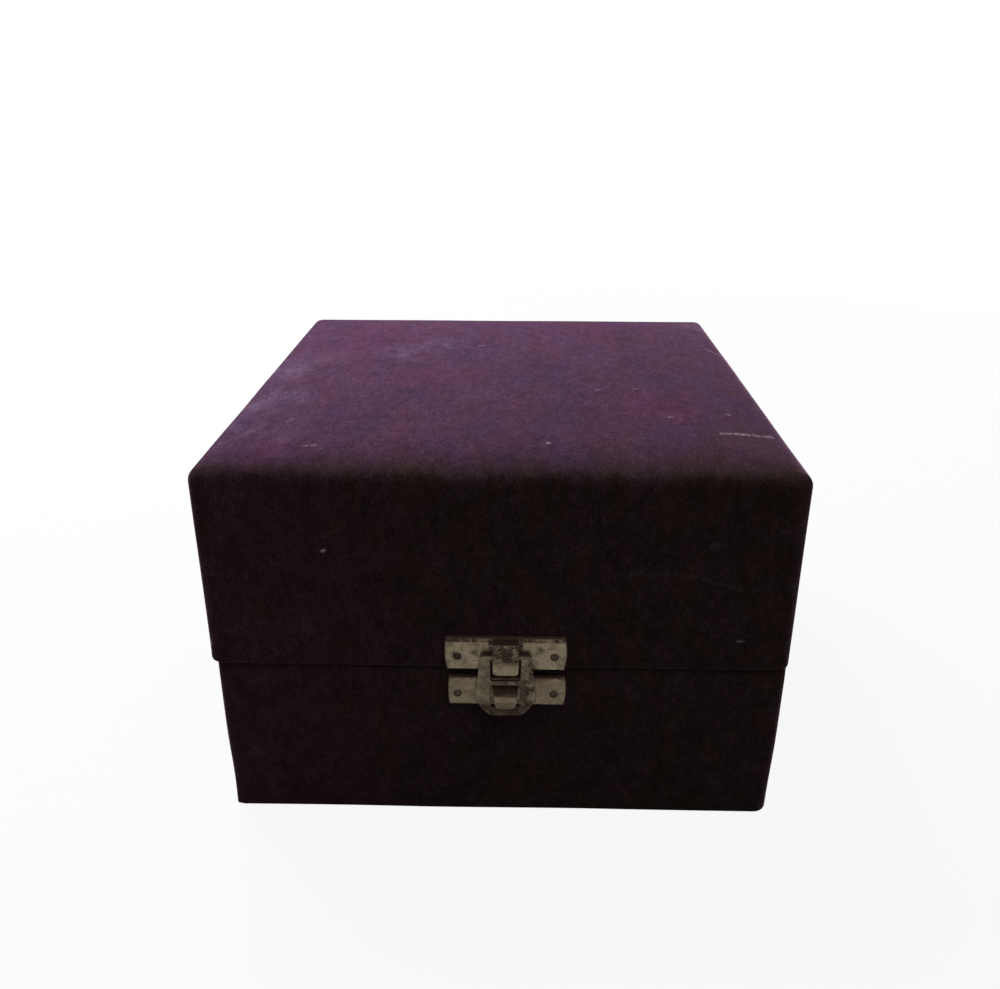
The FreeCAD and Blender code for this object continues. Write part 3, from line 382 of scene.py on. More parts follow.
def aged_nickel(tree, place, plate, tarnish):
    """Thin nickel plate on pressed steel: a warm grey that has dulled, brown where dust and damp lay on it
    and darker where shadow is painted in, lighter on its rubbed edges as wear and a painted highlight, with
    fine scratches from handling."""
    cloud = add(tree, "TexNoise",
                {"Vector": place, "Scale": 1 / (2.4 * MM), "Detail": 4.0, "Roughness": 0.65})
    pits = add(tree, "TexNoise", {"Vector": place, "Scale": 1 / (0.5 * MM), "Detail": 3.0, "Roughness": 0.6})
    line_place = add(tree, "Mapping",
                     {"Vector": place, "Rotation": (0.0, 0.5, 0.0), "Scale": (0.12, 1.0, 1.0)})
    # Scratches are well under 0.1 mm wide and are drawn at 0.35 mm, so that they show
    scratch = add(tree, "TexNoise", {"Vector": line_place, "Scale": 1 / (0.35 * MM), "Detail": 2.0})
    normal = add(tree, "TexCoord", output="Normal")
    upward = add(tree, "SeparateXYZ", {"Vector": normal}, "Z")
    upward = add(tree, "MapRange", {"Value": upward, "From Min": 0.2, "From Max": 0.75})
    spread = add(tree, "MapRange", {"Value": cloud, "From Min": 0.5, "From Max": 0.72, "To Max": 0.6})
    brown = add(tree, "Math", {0: upward, 1: spread}, operation="MAXIMUM")
    # Grime, with painted shadow in the latch's gaps and under its overhangs
    grime_and_shadow = add(tree, "Attribute", output="Fac", attribute_name="grime_and_shadow")
    patchy = add(tree, "Math", {0: pits, 1: cloud}, operation="ADD")
    patchy = add(tree, "MapRange",
                 {"Value": patchy, "From Min": 0.82, "From Max": 1.14, "To Min": 0.15, "To Max": 1.4})
    grime_and_shadow = add(tree, "Math", {0: grime_and_shadow, 1: patchy}, operation="MULTIPLY")
    brown = add(tree, "Math", {0: brown, 1: grime_and_shadow}, operation="MAXIMUM")
    colour = add(tree, "Mix", {"Factor": brown, "A": linear(plate), "B": linear(tarnish)}, data_type="RGBA")
    # Rubbed edges, lighter as wear and as a painted highlight
    rubbed = add(tree, "Attribute", output="Fac", attribute_name="rubbed")
    colour = add(tree, "Mix", {"Factor": rubbed, "A": colour, "B": linear("#9b9080")}, data_type="RGBA")
    colour = shaded(tree, colour, pits, 0.72, 1.2)
    colour = shaded(tree, colour, scratch, 1.0, 1.4, 0.6, 0.75)
    rough = add(tree, "MapRange", {"Value": brown, "To Min": 0.4, "To Max": 0.7})
    metal = add(tree, "MapRange", {"Value": brown, "To Min": 0.85, "To Max": 0.25})
    bump = add(tree, "Bump", {"Height": pits, "Strength": 0.3, "Distance": 0.08 * MM})
    bump = add(tree, "Bump", {"Height": scratch, "Strength": 0.15, "Distance": 0.04 * MM, "Normal": bump})
    return add(tree, "BsdfPrincipled", {
        "Base Color": colour, "Metallic": metal, "Roughness": rough, "Specular IOR Level": 0.15,
        "Normal": bump})


def sawn_pine(tree, place):
    """Sawn pine: pale early wood and darker late wood in bands along the grain."""
    grain_place = add(tree, "Mapping", {"Vector": place, "Scale": (0.06, 1.0, 1.0)})
    ring = add(tree, "TexNoise",
               {"Vector": grain_place, "Scale": 1 / (2.2 * MM), "Detail": 3.0, "Distortion": 0.5})
    ring = add(tree, "MapRange", {"Value": ring, "From Min": 0.35, "From Max": 0.65})
    colour = add(tree, "Mix", {"Factor": ring, "A": linear("#c9a877"), "B": linear("#a47b4b")},
                 data_type="RGBA")
    rough = add(tree, "MapRange", {"Value": ring, "To Min": 0.6, "To Max": 0.75})
    bump = add(tree, "Bump", {"Height": ring, "Strength": 0.2, "Distance": 0.1 * MM})
    return add(tree, "BsdfPrincipled", {"Base Color": colour, "Roughness": rough, "Normal": bump})


def lining_paper(tree, place):
    """Dark brown lining paper, pasted down: matt, with paler fibres and scuffs."""
    fibre_place = add(tree, "Mapping",
                      {"Vector": place, "Rotation": (0.0, 0.0, 0.6), "Scale": (0.2, 1.0, 1.0)})
    fibre = add(tree, "TexNoise", {"Vector": fibre_place, "Scale": 1 / (0.5 * MM), "Detail": 3.0})
    scuff = add(tree, "TexNoise", {"Vector": place, "Scale": 1 / (18 * MM), "Detail": 5.0, "Roughness": 0.65})
    scuff = add(tree, "MapRange", {"Value": scuff, "From Min": 0.5, "From Max": 0.75, "To Max": 0.6})
    colour = add(tree, "Mix", {"Factor": fibre, "A": linear("#1d1816"), "B": linear("#302824")},
                 data_type="RGBA")
    colour = add(tree, "Mix", {"Factor": scuff, "A": colour, "B": linear("#5b4f45")}, data_type="RGBA")
    rough = add(tree, "MapRange", {"Value": fibre, "To Min": 0.75, "To Max": 0.95})
    bump = add(tree, "Bump", {"Height": fibre, "Strength": 0.3, "Distance": 0.1 * MM})
    return add(tree, "BsdfPrincipled", {"Base Color": colour, "Roughness": rough, "Normal": bump})


def ribbed_ribbon(tree, place):
    """Grosgrain ribbon: a silky mauve with a rib across it at every 0.8 mm."""
    # At a scale of 1 a wave texture runs through 20 radians per metre
    rib = add(tree, "TexWave", {"Vector": place, "Scale": math.tau / 20 / (0.8 * MM), "Distortion": 0.3},
              output="Fac", bands_direction="Z")
    colour = add(tree, "Mix", {"Factor": rib, "A": linear("#4b2a50"), "B": linear("#7a4f80")},
                 data_type="RGBA")
    rough = add(tree, "MapRange", {"Value": rib, "To Min": 0.4, "To Max": 0.6})
    bump = add(tree, "Bump", {"Height": rib, "Strength": 0.5, "Distance": 0.15 * MM})
    return add(tree, "BsdfPrincipled", {
        "Base Color": colour, "Roughness": rough, "Specular IOR Level": 0.2, "Sheen Weight": 0.1,
        "Normal": bump})


cover_velvet = material("worn_velvet", worn_velvet)
inner_velvet = material("bed_velvet", bed_velvet)
satin = material("aged_satin", aged_satin)
latch_nickel = material("latch_nickel", aged_nickel, "#796e5b", "#3a2920")
nail_nickel = material("nail_nickel", aged_nickel, "#3d352d", "#191311")
hinge_nickel = material("hinge_nickel", aged_nickel, "#6a604e", "#33261e")
pine = material("sawn_pine", sawn_pine)
paper = material("lining_paper", lining_paper)
ribbon = material("ribbed_ribbon", ribbed_ribbon)


def box_shape(low, high):
    """Mesh of a box."""
    bm = bmesh.new()
    bmesh.ops.create_cube(bm, size=1.0)
    bmesh.ops.scale(bm, vec=high - low, verts=bm.verts)
    bmesh.ops.translate(bm, vec=(low + high) / 2, verts=bm.verts)
    return bm


def rounded(bm, edges, radius, segments, clamp=False):
    """Rounds some edges of a mesh, and stops short of overlaps where it is clamped."""
    bmesh.ops.bevel(bm, geom=edges, offset=radius, affect="EDGES", segments=segments, profile=0.5,
                    material=-1, clamp_overlap=clamp)


def upright_edges(bm):
    """Edges that run along Z."""
    return [e for e in bm.edges
            if abs(e.verts[0].co.z - e.verts[1].co.z) > UPRIGHT_SHARE * e.calc_length()]


def level_edges(bm, z):
    """Edges that lie at one height."""
    return [e for e in bm.edges if all(abs(v.co.z - z) < TOUCH for v in e.verts)]


def level_face(bm, z):
    """The face that closes a mesh at one height."""
    return next(f for f in bm.faces if all(abs(v.co.z - z) < TOUCH for v in f.verts))


def sharp_edges(bm):
    """Edges at which a mesh bends sharply."""
    return [e for e in bm.edges if len(e.link_faces) == 2 and e.calc_face_angle() > SHARP_EDGE]


def points_of(parts):
    """The points among the parts of a mesh that an operator gives back."""
    return [part for part in parts if isinstance(part, bmesh.types.BMVert)]


def extent(bm):
    """Low and high corner of a mesh."""
    places = [v.co for v in bm.verts]
    return (Vector([min(p[axis] for p in places) for axis in range(3)]),
            Vector([max(p[axis] for p in places) for axis in range(3)]))


def cut_cells(bm, cell):
    """Cuts a mesh into cells along all three axes, so that it can bend."""
    low, high = extent(bm)
    for axis in range(3):
        count = round((high[axis] - low[axis]) / cell)
        for step in range(1, count):
            point = low.copy()
            point[axis] += (high[axis] - low[axis]) * step / count
            bmesh.ops.bisect_plane(bm, geom=bm.verts[:] + bm.edges[:] + bm.faces[:], dist=TOUCH,
                                   plane_co=point, plane_no=Matrix.Identity(3)[axis])


def smooth_step(value, start, end):
    """0 before start, 1 after end and a soft step between. The end may lie below the start."""
    share = min(1.0, max(0.0, (value - start) / (end - start)))
    return share * share * (3 - 2 * share)


def make_piece(name, bm, finish, body, replaced, sharp_angle=None):
    """Object from a mesh, on its body, in place of CAD nodes."""
    for face in bm.faces:
        face.smooth = True
    mesh = bpy.data.meshes.new(name)
    bm.to_mesh(mesh)
    bm.free()
    if sharp_angle:
        mesh.set_sharp_from_angle(angle=sharp_angle)
    mesh.materials.append(finish)
    piece = bpy.data.objects.new(name, mesh)
    scene.collection.objects.link(piece)
    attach(piece, body)
    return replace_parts(piece, *replaced)


def merged_copy(node):
    """Mesh of a CAD node with its loose triangles joined."""
    bm = bmesh.new()
    bm.from_mesh(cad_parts[node].data)
    bmesh.ops.remove_doubles(bm, verts=bm.verts, dist=MERGE)
    return bm


def remade_in_cells(piece, size, smoothing=0):
    """Makes a piece again from even cells of one size, and smooths it a number of times."""
    remesh = piece.modifiers.new("cells", "REMESH")
    remesh.mode = "VOXEL"
    remesh.voxel_size = size
    if smoothing:
        piece.modifiers.new("round", "SMOOTH").iterations = smoothing
    bpy.context.view_layer.update()
    piece.data = finished_mesh(piece)
    piece.modifiers.clear()
    piece.data.shade_smooth()


def finished_mesh(piece):
    """New mesh of a piece as its modifiers leave it."""
    return bpy.data.meshes.new_from_object(piece.evaluated_get(bpy.context.evaluated_depsgraph_get()))


def thicken(piece, thickness, offset=-1.0):
    """Gives a cloth its thickness: behind the side that is seen, or to both sides at an offset of 0."""
    solid = piece.modifiers.new("thickness", "SOLIDIFY")
    solid.thickness = thickness
    solid.offset = offset


def rim_warp(place, rim_z, front_y, half_width):
    """How far the warped front rim stands off its straight line at a place."""
    across = RIM_MIDDLE + (RIM_ENDS - RIM_MIDDLE) * (place.x / half_width) ** 2
    near_rim = 1 - smooth_step(abs(place.z - rim_z), 0, RIM_WARP_HEIGHT)
    near_front = 1 - smooth_step(place.y - front_y, 0, RIM_WARP_DEPTH)
    return across * near_rim * near_front


def spot_share(place, spots):
    """How much of the nearest spot reaches a place on top of the lid."""
    point = place.x / MM, place.y / MM
    return max(1 - smooth_step(math.dist(point, spot[:2]), 0, spot[2]) for spot in spots)


def pinched(place, corner, share):
    """Place after the cloth round an upright corner is pulled out towards the sharp corner."""
    middle = corner + Vector((CORNER_RADIUS, CORNER_RADIUS, 0))
    out = Vector((max(0.0, middle.x - place.x), max(0.0, middle.y - place.y), 0))
    reach = max(out.x, out.y)
    if min(out.x, out.y) == 0 or reach == 0:
        return place
    return place - out * share * (CORNER_RADIUS / reach - 1)


def velvet_shape(node, lining, end_z, mouth_z, end_radius):
    """Cloth over one half of the case, turned in over the rim of its walls."""
    bm = box_shape(*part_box(node))
    rounded(bm, upright_edges(bm), CORNER_RADIUS, CORNER_STEPS)
    rounded(bm, level_edges(bm, end_z), end_radius, CORNER_STEPS)
    mouth = level_face(bm, mouth_z)
    rim = mouth.edges[:]
    bmesh.ops.delete(bm, geom=[mouth], context="FACES_ONLY")
    turned = bmesh.ops.extrude_edge_only(bm, edges=rim)["geom"]
    room_low, room_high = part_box(lining)
    for vert in points_of(turned):
        for axis in range(2):
            vert.co[axis] = min(max(vert.co[axis], room_low[axis]), room_high[axis])
    bmesh.ops.remove_doubles(bm, verts=bm.verts, dist=TOUCH)
    bmesh.ops.recalc_face_normals(bm, faces=bm.faces)
    rounded(bm, [e for e in rim if e.is_valid], RIM_EDGE_RADIUS, RIM_STEPS)
    cut_cells(bm, COVER_CELL)
    bmesh.ops.recalc_face_normals(bm, faces=bm.faces)
    bm.normal_update()
    return bm


def velvet_wear(bm, low, high, end_z, mouth_z):
    """Sets for each point of the cloth its fading with painted light and shade, its dust, its flush with
    painted light from the left on the front, and its rubbing.
    """
    fade_and_light, dust, blush_and_light, wear = [bm.verts.layers.float.new(name) for name in VELVET_LAYERS]
    edge_share = 1 - math.sqrt(0.5)
    half_width = (high.x - low.x) / 2
    for vert in bm.verts:
        place = vert.co
        on_top = smooth_step(vert.normal.z, *FACING) if end_z > mouth_z else 0.0
        on_front = smooth_step(-vert.normal.y, *FACING)
        towards_back = (place.y - low.y) / (high.y - low.y)
        # Painted light with some fading: paler towards the back and the left, and the front edge left dark as
        # painted shade
        fade_and_light_here = FADE_AND_LIGHT_AT_FRONT + (1 - FADE_AND_LIGHT_AT_FRONT) * towards_back - PAINTED_LIGHT_LEFT_GAIN * place.x / half_width
        vert[fade_and_light] = on_top * smooth_step(place.y, FADE_AND_LIGHT_START_Y, FADE_AND_LIGHT_FULL_Y) * fade_and_light_here
        vert[dust] = on_top * spot_share(place, DUSTY_SPOTS)
        # Painted light from the left: the front is painted pinker towards the left
        front_painted_light = on_front * smooth_step(-place.x, 0, half_width) * FRONT_PAINTED_LIGHT
        vert[blush_and_light] = on_top * spot_share(place, BLUSH_SPOTS) + front_painted_light
        vert[wear] = min(1.0, (1 - max(abs(c) for c in vert.normal)) / edge_share)
        if end_z < mouth_z:
            vert[wear] *= smooth_step(mouth_z - place.z, 0, RIM_STEP_HEIGHT)


def velvet_bend(bm, low, high, end_z, mouth_z):
    """Bends the cloth: shallow dents all over, the crown on top, the warped rim and the pulled in foot."""
    half_width = (high.x - low.x) / 2
    for vert in bm.verts:
        rise = noise.noise(vert.co / DENT_LENGTH) * DENT_DEPTH
        if end_z > mouth_z and vert.normal.z > FLAT_TOP:
            inside = min(half_width - abs(vert.co.x), high.y - abs(vert.co.y)) - TOP_EDGE_RADIUS
            rise += CROWN * (1 - max(0.0, 1 - inside / CROWN_MARGIN) ** 2)
        step = -LID_RIM_PROUD if end_z > mouth_z else BASE_RIM_BACK
        step *= 1 - smooth_step(abs(vert.co.z - mouth_z), 0, RIM_STEP_HEIGHT)
        step *= 1 - smooth_step(vert.co.y - low.y, CORNER_RADIUS / 4, CORNER_RADIUS)
        sag = rim_warp(vert.co, mouth_z, low.y, half_width)
        vert.co += vert.normal * rise + Vector((0, step, sag))
        if end_z < mouth_z:
            above_foot = vert.co.z - low.z
            pinch = FOOT_PINCH * (1 - smooth_step(above_foot, 0, FOOT_PINCH_HEIGHT))
            lean = FOOT_LEAN * (1 - smooth_step(above_foot, 0, FOOT_LEAN_HEIGHT))
            vert.co = pinched(vert.co, low, pinch)
            vert.co.x -= vert.co.x / half_width * lean


def velvet_half(node, lining, end_z, mouth_z, end_radius):
    """Worn and bent cloth over one half of the case, between its end and its mouth."""
    low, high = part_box(node)
    bm = velvet_shape(node, lining, end_z, mouth_z, end_radius)
    velvet_wear(bm, low, high, end_z, mouth_z)
    velvet_bend(bm, low, high, end_z, mouth_z)
    return bm


def lid_velvet():
    """Velvet over the lid, from its top down to its rim."""
    low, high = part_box("lid_cover")
    bm = velvet_half("lid_cover", "lid_lining", high.z, low.z, TOP_EDGE_RADIUS)
    piece = make_piece("lid_velvet", bm, cover_velvet, "lid", ["lid_cover"])
    thicken(piece, CLOTH)


def base_velvet():
    """Velvet over the base, from its foot up to its rim."""
    low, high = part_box("base_cover")
    bm = velvet_half("base_cover", "base_lining", low.z, high.z, FOOT_EDGE_RADIUS)
    piece = make_piece("base_velvet", bm, cover_velvet, "base", ["base_cover"])
    thicken(piece, CLOTH)


def satin_lining(name, node, body, end_z, mouth_z):
    """Satin pasted inside one half of the case, with puckers where it was pulled round the corners."""
    low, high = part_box(node)
    wall = Vector((1, 1, 0)) * LINING
    inner_low, inner_high = low + wall, high - wall
    inner_low.z, inner_high.z = sorted((end_z + math.copysign(LINING, mouth_z - end_z), mouth_z))
    floor_z = inner_low.z if end_z < mouth_z else inner_high.z
    bm = box_shape(inner_low, inner_high)
    rounded(bm, upright_edges(bm), LINING_CORNER, LINING_CORNER_STEPS)
    rounded(bm, level_edges(bm, floor_z), LINING_FOLD, LINING_FOLD_STEPS)
    bmesh.ops.delete(bm, geom=[level_face(bm, mouth_z)], context="FACES_ONLY")
    cut_cells(bm, LINING_CELL)
    bmesh.ops.recalc_face_normals(bm, faces=bm.faces)
    bmesh.ops.reverse_faces(bm, faces=bm.faces)
    bm.normal_update()
    for vert in bm.verts:
        place = Vector((vert.co.x, vert.co.y, vert.co.z / 4)) / PUCKER_LENGTH
        vert.co += vert.normal * max(0.0, noise.noise(place)) * PUCKER_DEPTH
    piece = make_piece(name, bm, satin, body, [node])
    thicken(piece, LINING)


def inflate(piece, pinned):
    """Blows a closed cloth up by air pressure, with some points held, and keeps the result."""
    group = piece.vertex_groups.new(name="pinned")
    group.add(pinned, 1.0, "REPLACE")
    start = [vert.co.copy() for vert in piece.data.vertices]
    cloth = piece.modifiers.new("air", "CLOTH")
    cloth.settings.use_pressure = True
    cloth.settings.uniform_pressure_force = CUSHION_PRESSURE
    cloth.settings.effector_weights.gravity = 0.0
    cloth.settings.vertex_group_mass = "pinned"
    for step in range(1, CUSHION_FRAMES + 1):
        scene.frame_set(step)
    blown = finished_mesh(piece)
    piece.modifiers.clear()
    scene.frame_set(1)
    for vert, first, moved in zip(piece.data.vertices, start, blown.vertices):
        move = moved.co - first
        vert.co = first + move * min(1.0, CUSHION_CAP / max(move.length, TOUCH))
    bpy.data.meshes.remove(blown)


def lid_cushion():
    """Padded satin panel under the lid's ceiling, blown up from a thin slab that is held at its back, with
    gathers along its edges."""
    low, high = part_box("lid_pad")
    margin = Vector((1, 1, 0)) * CUSHION_INSET
    bm = box_shape(Vector((low.x, low.y, high.z - CUSHION_START)) + margin, high - margin)
    piece = make_piece("lid_cushion", bm, satin, "lid", ["lid_pad"])
    remade_in_cells(piece, CUSHION_VOXEL)
    top = max(vert.co.z for vert in piece.data.vertices)
    inflate(piece, [vert.index for vert in piece.data.vertices if vert.co.z > top - CUSHION_VOXEL / 4])
    for vert in piece.data.vertices:
        to_side = min(vert.co.x - low.x, high.x - vert.co.x)
        to_end = min(vert.co.y - low.y, high.y - vert.co.y)
        along = vert.co.y if to_side < to_end else vert.co.x
        edge = min(to_side, to_end)
        fold = abs(noise.noise(Vector((along / GATHER_LENGTH, edge / GATHER_REACH, 0.5))))
        below = smooth_step(top - vert.co.z, 0, CUSHION_START)
        vert.co.z += GATHER_DEPTH * fold * below * (1 - smooth_step(edge, GATHER_REACH / 4, GATHER_REACH))
    smoother = piece.modifiers.new("smoother", "SUBSURF")
    smoother.levels = smoother.render_levels = 1


def tray_case():
    """Tray of thin boards wrapped in velvet, with soft rims."""
    low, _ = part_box("tray_floor")
    _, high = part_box("tray_back_wall")
    left_low, left_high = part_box("tray_left_wall")
    bm = box_shape(low, Vector((-low.x, high.y, high.z)))
    top = level_face(bm, high.z)
    bmesh.ops.inset_region(bm, faces=[top], thickness=left_high.x - left_low.x, use_even_offset=True)
    sunk = bmesh.ops.extrude_discrete_faces(bm, faces=[top])["faces"]
    bmesh.ops.translate(bm, vec=(0, 0, left_low.z - high.z), verts=sunk[0].verts)
    rims = [e for e in level_edges(bm, high.z) if e.calc_face_angle() > SHARP_EDGE]
    corners = [e for e in upright_edges(bm) if abs(abs(e.verts[0].co.x) + low.x) < TOUCH]
    rounded(bm, rims + corners, TRAY_RIM, BED_STEPS)
    cut_cells(bm, BED_CELL)
    bmesh.ops.recalc_face_normals(bm, faces=bm.faces)
    make_piece("tray_case", bm, inner_velvet, "tray",
               ["tray_floor", "tray_front_wall", "tray_back_wall", "tray_left_wall", "tray_right_wall"])


def recess_bed():
    """Velvet pressed over the ribs and bars of the bed, down into the recesses."""
    ribs_low, ribs_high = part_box("bed_ribs")
    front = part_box("bed_front_bar")[0].y + BED_GAP
    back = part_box("bed_back_bar")[1].y - BED_GAP
    stop_low, stop_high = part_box("bow_recess_stop")
    rows = [front, ribs_low.y, stop_low.y, stop_high.y, ribs_high.y, back]
    ends = []
    for end in (ribs_low.y, ribs_high.y):
        corners = [v.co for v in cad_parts["bed_ribs"].data.vertices if abs(v.co.y - end) < TOUCH]
        ends.append(sorted({round(co.x / TOUCH) * TOUCH for co in corners}))
    columns = len(ends[0])
    depth = ribs_high.z - ribs_low.z
    bm = bmesh.new()
    bmesh.ops.create_grid(bm, x_segments=columns - 1, y_segments=len(rows) - 1, size=1.0)
    cells = {}
    for vert in bm.verts:
        column = round((vert.co.x + 1) / 2 * (columns - 1))
        row = round((vert.co.y + 1) / 2 * (len(rows) - 1))
        share = min(1.0, max(0.0, (rows[row] - ribs_low.y) / (ribs_high.y - ribs_low.y)))
        x = ends[0][column] + (ends[1][column] - ends[0][column]) * share
        vert.co = (min(max(x, ribs_low.x + BED_GAP), ribs_high.x - BED_GAP), rows[row], ribs_high.z)
        cells[vert] = (column, row)
    # Every other column is a recess, and a stop parts the last one in two
    bow_column = columns - 3
    for column in range(1, columns - 1, 2):
        spans = [(1, 2), (3, 4)] if column == bow_column else [(1, 4)]
        for first, last in spans:
            corners = {v for v, (across, along) in cells.items()
                       if column <= across <= column + 1 and first <= along <= last}
            faces = [f for f in bm.faces if all(v in corners for v in f.verts)]
            sunk = bmesh.ops.extrude_face_region(bm, geom=faces)["geom"]
            bmesh.ops.translate(bm, vec=(0, 0, BED_CLOTH - depth), verts=points_of(sunk))
            bmesh.ops.delete(bm, geom=[f for f in faces if f.is_valid], context="FACES")
    bmesh.ops.recalc_face_normals(bm, faces=bm.faces)
    rounded(bm, sharp_edges(bm), BED_ROUND, BED_STEPS)
    cut_cells(bm, BED_CELL)
    bmesh.ops.recalc_face_normals(bm, faces=bm.faces)
    bm.normal_update()
    for vert in bm.verts:
        vert.co -= vert.normal * (0.5 + noise.noise(vert.co / BED_WAVE)) * BED_SOFTNESS
    bed_area = sum(face.calc_area() for face in bm.faces)
    piece = make_piece("recess_bed", bm, inner_velvet, "tray",
                       ["bed_ribs", "bed_front_bar", "bed_back_bar", "bow_recess_stop"])
    thicken(piece, BED_CLOTH)


def pull_ribbon(name, inward, wall_x):
    """Ribbon folded into a loop that stands up beside the tray's wall and leans inwards at its top."""
    low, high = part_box("tray_pulls")
    height = high.z - low.z - RIBBON_LOOP
    rise = height / RIBBON_LEG_STEPS
    bm = bmesh.new()
    leg_x = wall_x + inward * RIBBON
    leg = [bm.verts.new((leg_x, low.y, low.z + rise * step)) for step in range(RIBBON_LEG_STEPS + 1)]
    for pair in zip(leg, leg[1:]):
        bm.edges.new(pair)
    centre = Vector((leg_x + inward * RIBBON_LOOP / 2, low.y, low.z + height))
    arc = bmesh.ops.spin(bm, geom=[leg[-1]], cent=centre, axis=(0, inward, 0), angle=math.pi,
                         steps=RIBBON_LOOP_STEPS)["geom_last"]
    down = arc[0]
    for step in range(RIBBON_LEG_STEPS):
        strip = bmesh.ops.extrude_vert_indiv(bm, verts=[down])["verts"]
        bmesh.ops.translate(bm, vec=(0, 0, -rise), verts=strip)
        down = strip[0]
    swept = bmesh.ops.extrude_edge_only(bm, edges=bm.edges[:])["geom"]
    bmesh.ops.translate(bm, vec=(0, high.y - low.y, 0), verts=points_of(swept))
    for vert in bm.verts:
        vert.co.x += inward * RIBBON_LEAN * ((vert.co.z - low.z) / height) ** 2
    across = [e for e in bm.edges if abs(e.verts[0].co.y - e.verts[1].co.y) > TOUCH]
    bmesh.ops.subdivide_edges(bm, edges=across, cuts=RIBBON_CUTS)
    bmesh.ops.recalc_face_normals(bm, faces=bm.faces)
    piece = make_piece(name, bm, ribbon, "tray", ["tray_pulls"])
    thicken(piece, RIBBON, offset=0.0)


def worn_metal(node, finish, body):
    """Copy of a metal piece with its sharp edges worn round."""
    bm = merged_copy(node)
    bmesh.ops.dissolve_limit(bm, angle_limit=FLAT_JOINT, verts=bm.verts, edges=bm.edges)
    rounded(bm, sharp_edges(bm), METAL_EDGE, METAL_STEPS, clamp=True)
    make_piece(f"worn_{node}", bm, finish, body, [node], sharp_angle=SHARP_EDGE)


def pressed_metal(node, body, bend, soil_and_shadow):
    """Copy of a piece of the latch with the round edges of a pressing. The bend function moves its points a
    little, and the function for grime and painted shadow says how much of them each holds. Its rubbed edges
    are lightened as wear and as a painted highlight."""
    piece = make_piece(f"worn_{node}", merged_copy(node), latch_nickel, body, [node])
    remade_in_cells(piece, PRESSING_VOXEL, PRESSING_SMOOTHING)
    bm = bmesh.new()
    bm.from_mesh(piece.data)
    grime_and_shadow, rubbed = [bm.verts.layers.float.new(name) for name in ("grime_and_shadow", "rubbed")]
    for vert in bm.verts:
        vert[grime_and_shadow] = soil_and_shadow(vert.co / MM)
        # Rubbed edges: lighter as wear and as a painted highlight
        vert[rubbed] = RUBBED_HIGHLIGHT_MOST * smooth_step(vert.calc_shell_factor(), RUBBED_HIGHLIGHT_FROM, RUBBED_HIGHLIGHT_TO)
    for vert in bm.verts:
        vert.co = bend(vert.co / MM) * MM
    bm.to_mesh(piece.data)
    bm.free()


def squeezed(place, level, share):
    """A coordinate, squeezed towards a level where it is below it, or above it for a negative share."""
    return level + (place - level) * abs(share) if (place < level) == (share > 0) else place


def hasp_bend(place):
    """The finger lip is shorter than the solid's, and the arms bulge forwards a little."""
    along = min(1.0, max(0.0, (place.z - HASP_LIP_Z) / (HASP_TOP_Z - HASP_LIP_Z)))
    bulge = HASP_BULGE * math.sin(math.pi * along)
    return Vector((place.x, place.y - bulge, squeezed(place.z, HASP_LIP_Z, HASP_LIP_SHARE)))


def hasp_grime_and_shadow(place):
    """Dark lip, painted shadow of the tab on the crossbar under it, and the right arm browner than the left
    one.
    """
    lip = LIP_GRIME * smooth_step(place.z, *LIP_GRIME_Z)
    # Painted shadow of the tab, on the crossbar under it only
    bar = BAR_TAB_SHADOW if BAR_LOW_Z < place.z < BAR_HIGH_Z else 0.0
    bar *= smooth_step(abs(place.x - LATCH_MIDDLE_X) - TAB_HALF_WIDTH, *BAR_END)
    return max(lip, bar, ARM_GRIME + RIGHT_ARM_GRIME * smooth_step(place.x, *RIGHT_ARM_X))


def keeper_bend(place):
    """The plate is lower than the solid's, and its left end is shorter."""
    z = squeezed(squeezed(place.z, KEEPER_LOW_Z, KEEPER_SHARE), KEEPER_HIGH_Z, -KEEPER_SHARE)
    return Vector((squeezed(place.x, KEEPER_LEFT_X, KEEPER_LEFT_SHARE), place.y, z))


def keeper_grime_and_shadow(place):
    """Painted shadow on the top edge, under the upper plate and the hasp, and on the tongue's root, under the
    hasp's crossbar, which leaves its tip bright; darker towards the foot.
    """
    top = KEEPER_TOP_SHADOW * smooth_step(place.z, *KEEPER_TOP_Z)
    # Painted shadow of the crossbar on the tongue's root
    tongue = smooth_step(place.y, *RAISED_Y) * smooth_step(place.z, *TONGUE_ROOT_Z)
    return max(top, tongue, KEEPER_GRIME + KEEPER_FOOT_DARKENING * smooth_step(place.z, *KEEPER_FOOT_Z))


def plate_grime_and_shadow(place):
    """A brown band along the top edge, the tab brown down to its middle, and painted shadow on the plate
    beside the tab.
    """
    on_tab = smooth_step(place.y, *RAISED_Y)
    band = BAND_GRIME * smooth_step(place.z, *BAND_Z)
    tab = TAB_GRIME * on_tab * smooth_step(place.z, *TAB_GRIME_Z)
    from_tab = abs(abs(place.x - LATCH_MIDDLE_X) - TAB_HALF_WIDTH)
    return max(band, tab, (1 - on_tab) * smooth_step(from_tab, *BESIDE_TAB_SHADOW))


def seen_share(tree):
    """1 for the rays that show the surroundings: to the camera, in a reflection or through glass."""
    path = add(tree, "LightPath").node.outputs
    shown = add(tree, "Math", {0: path["Is Camera Ray"], 1: path["Is Glossy Ray"]}, operation="MAXIMUM")
    return add(tree, "Math", {0: shown, 1: path["Is Transmission Ray"]}, operation="MAXIMUM")


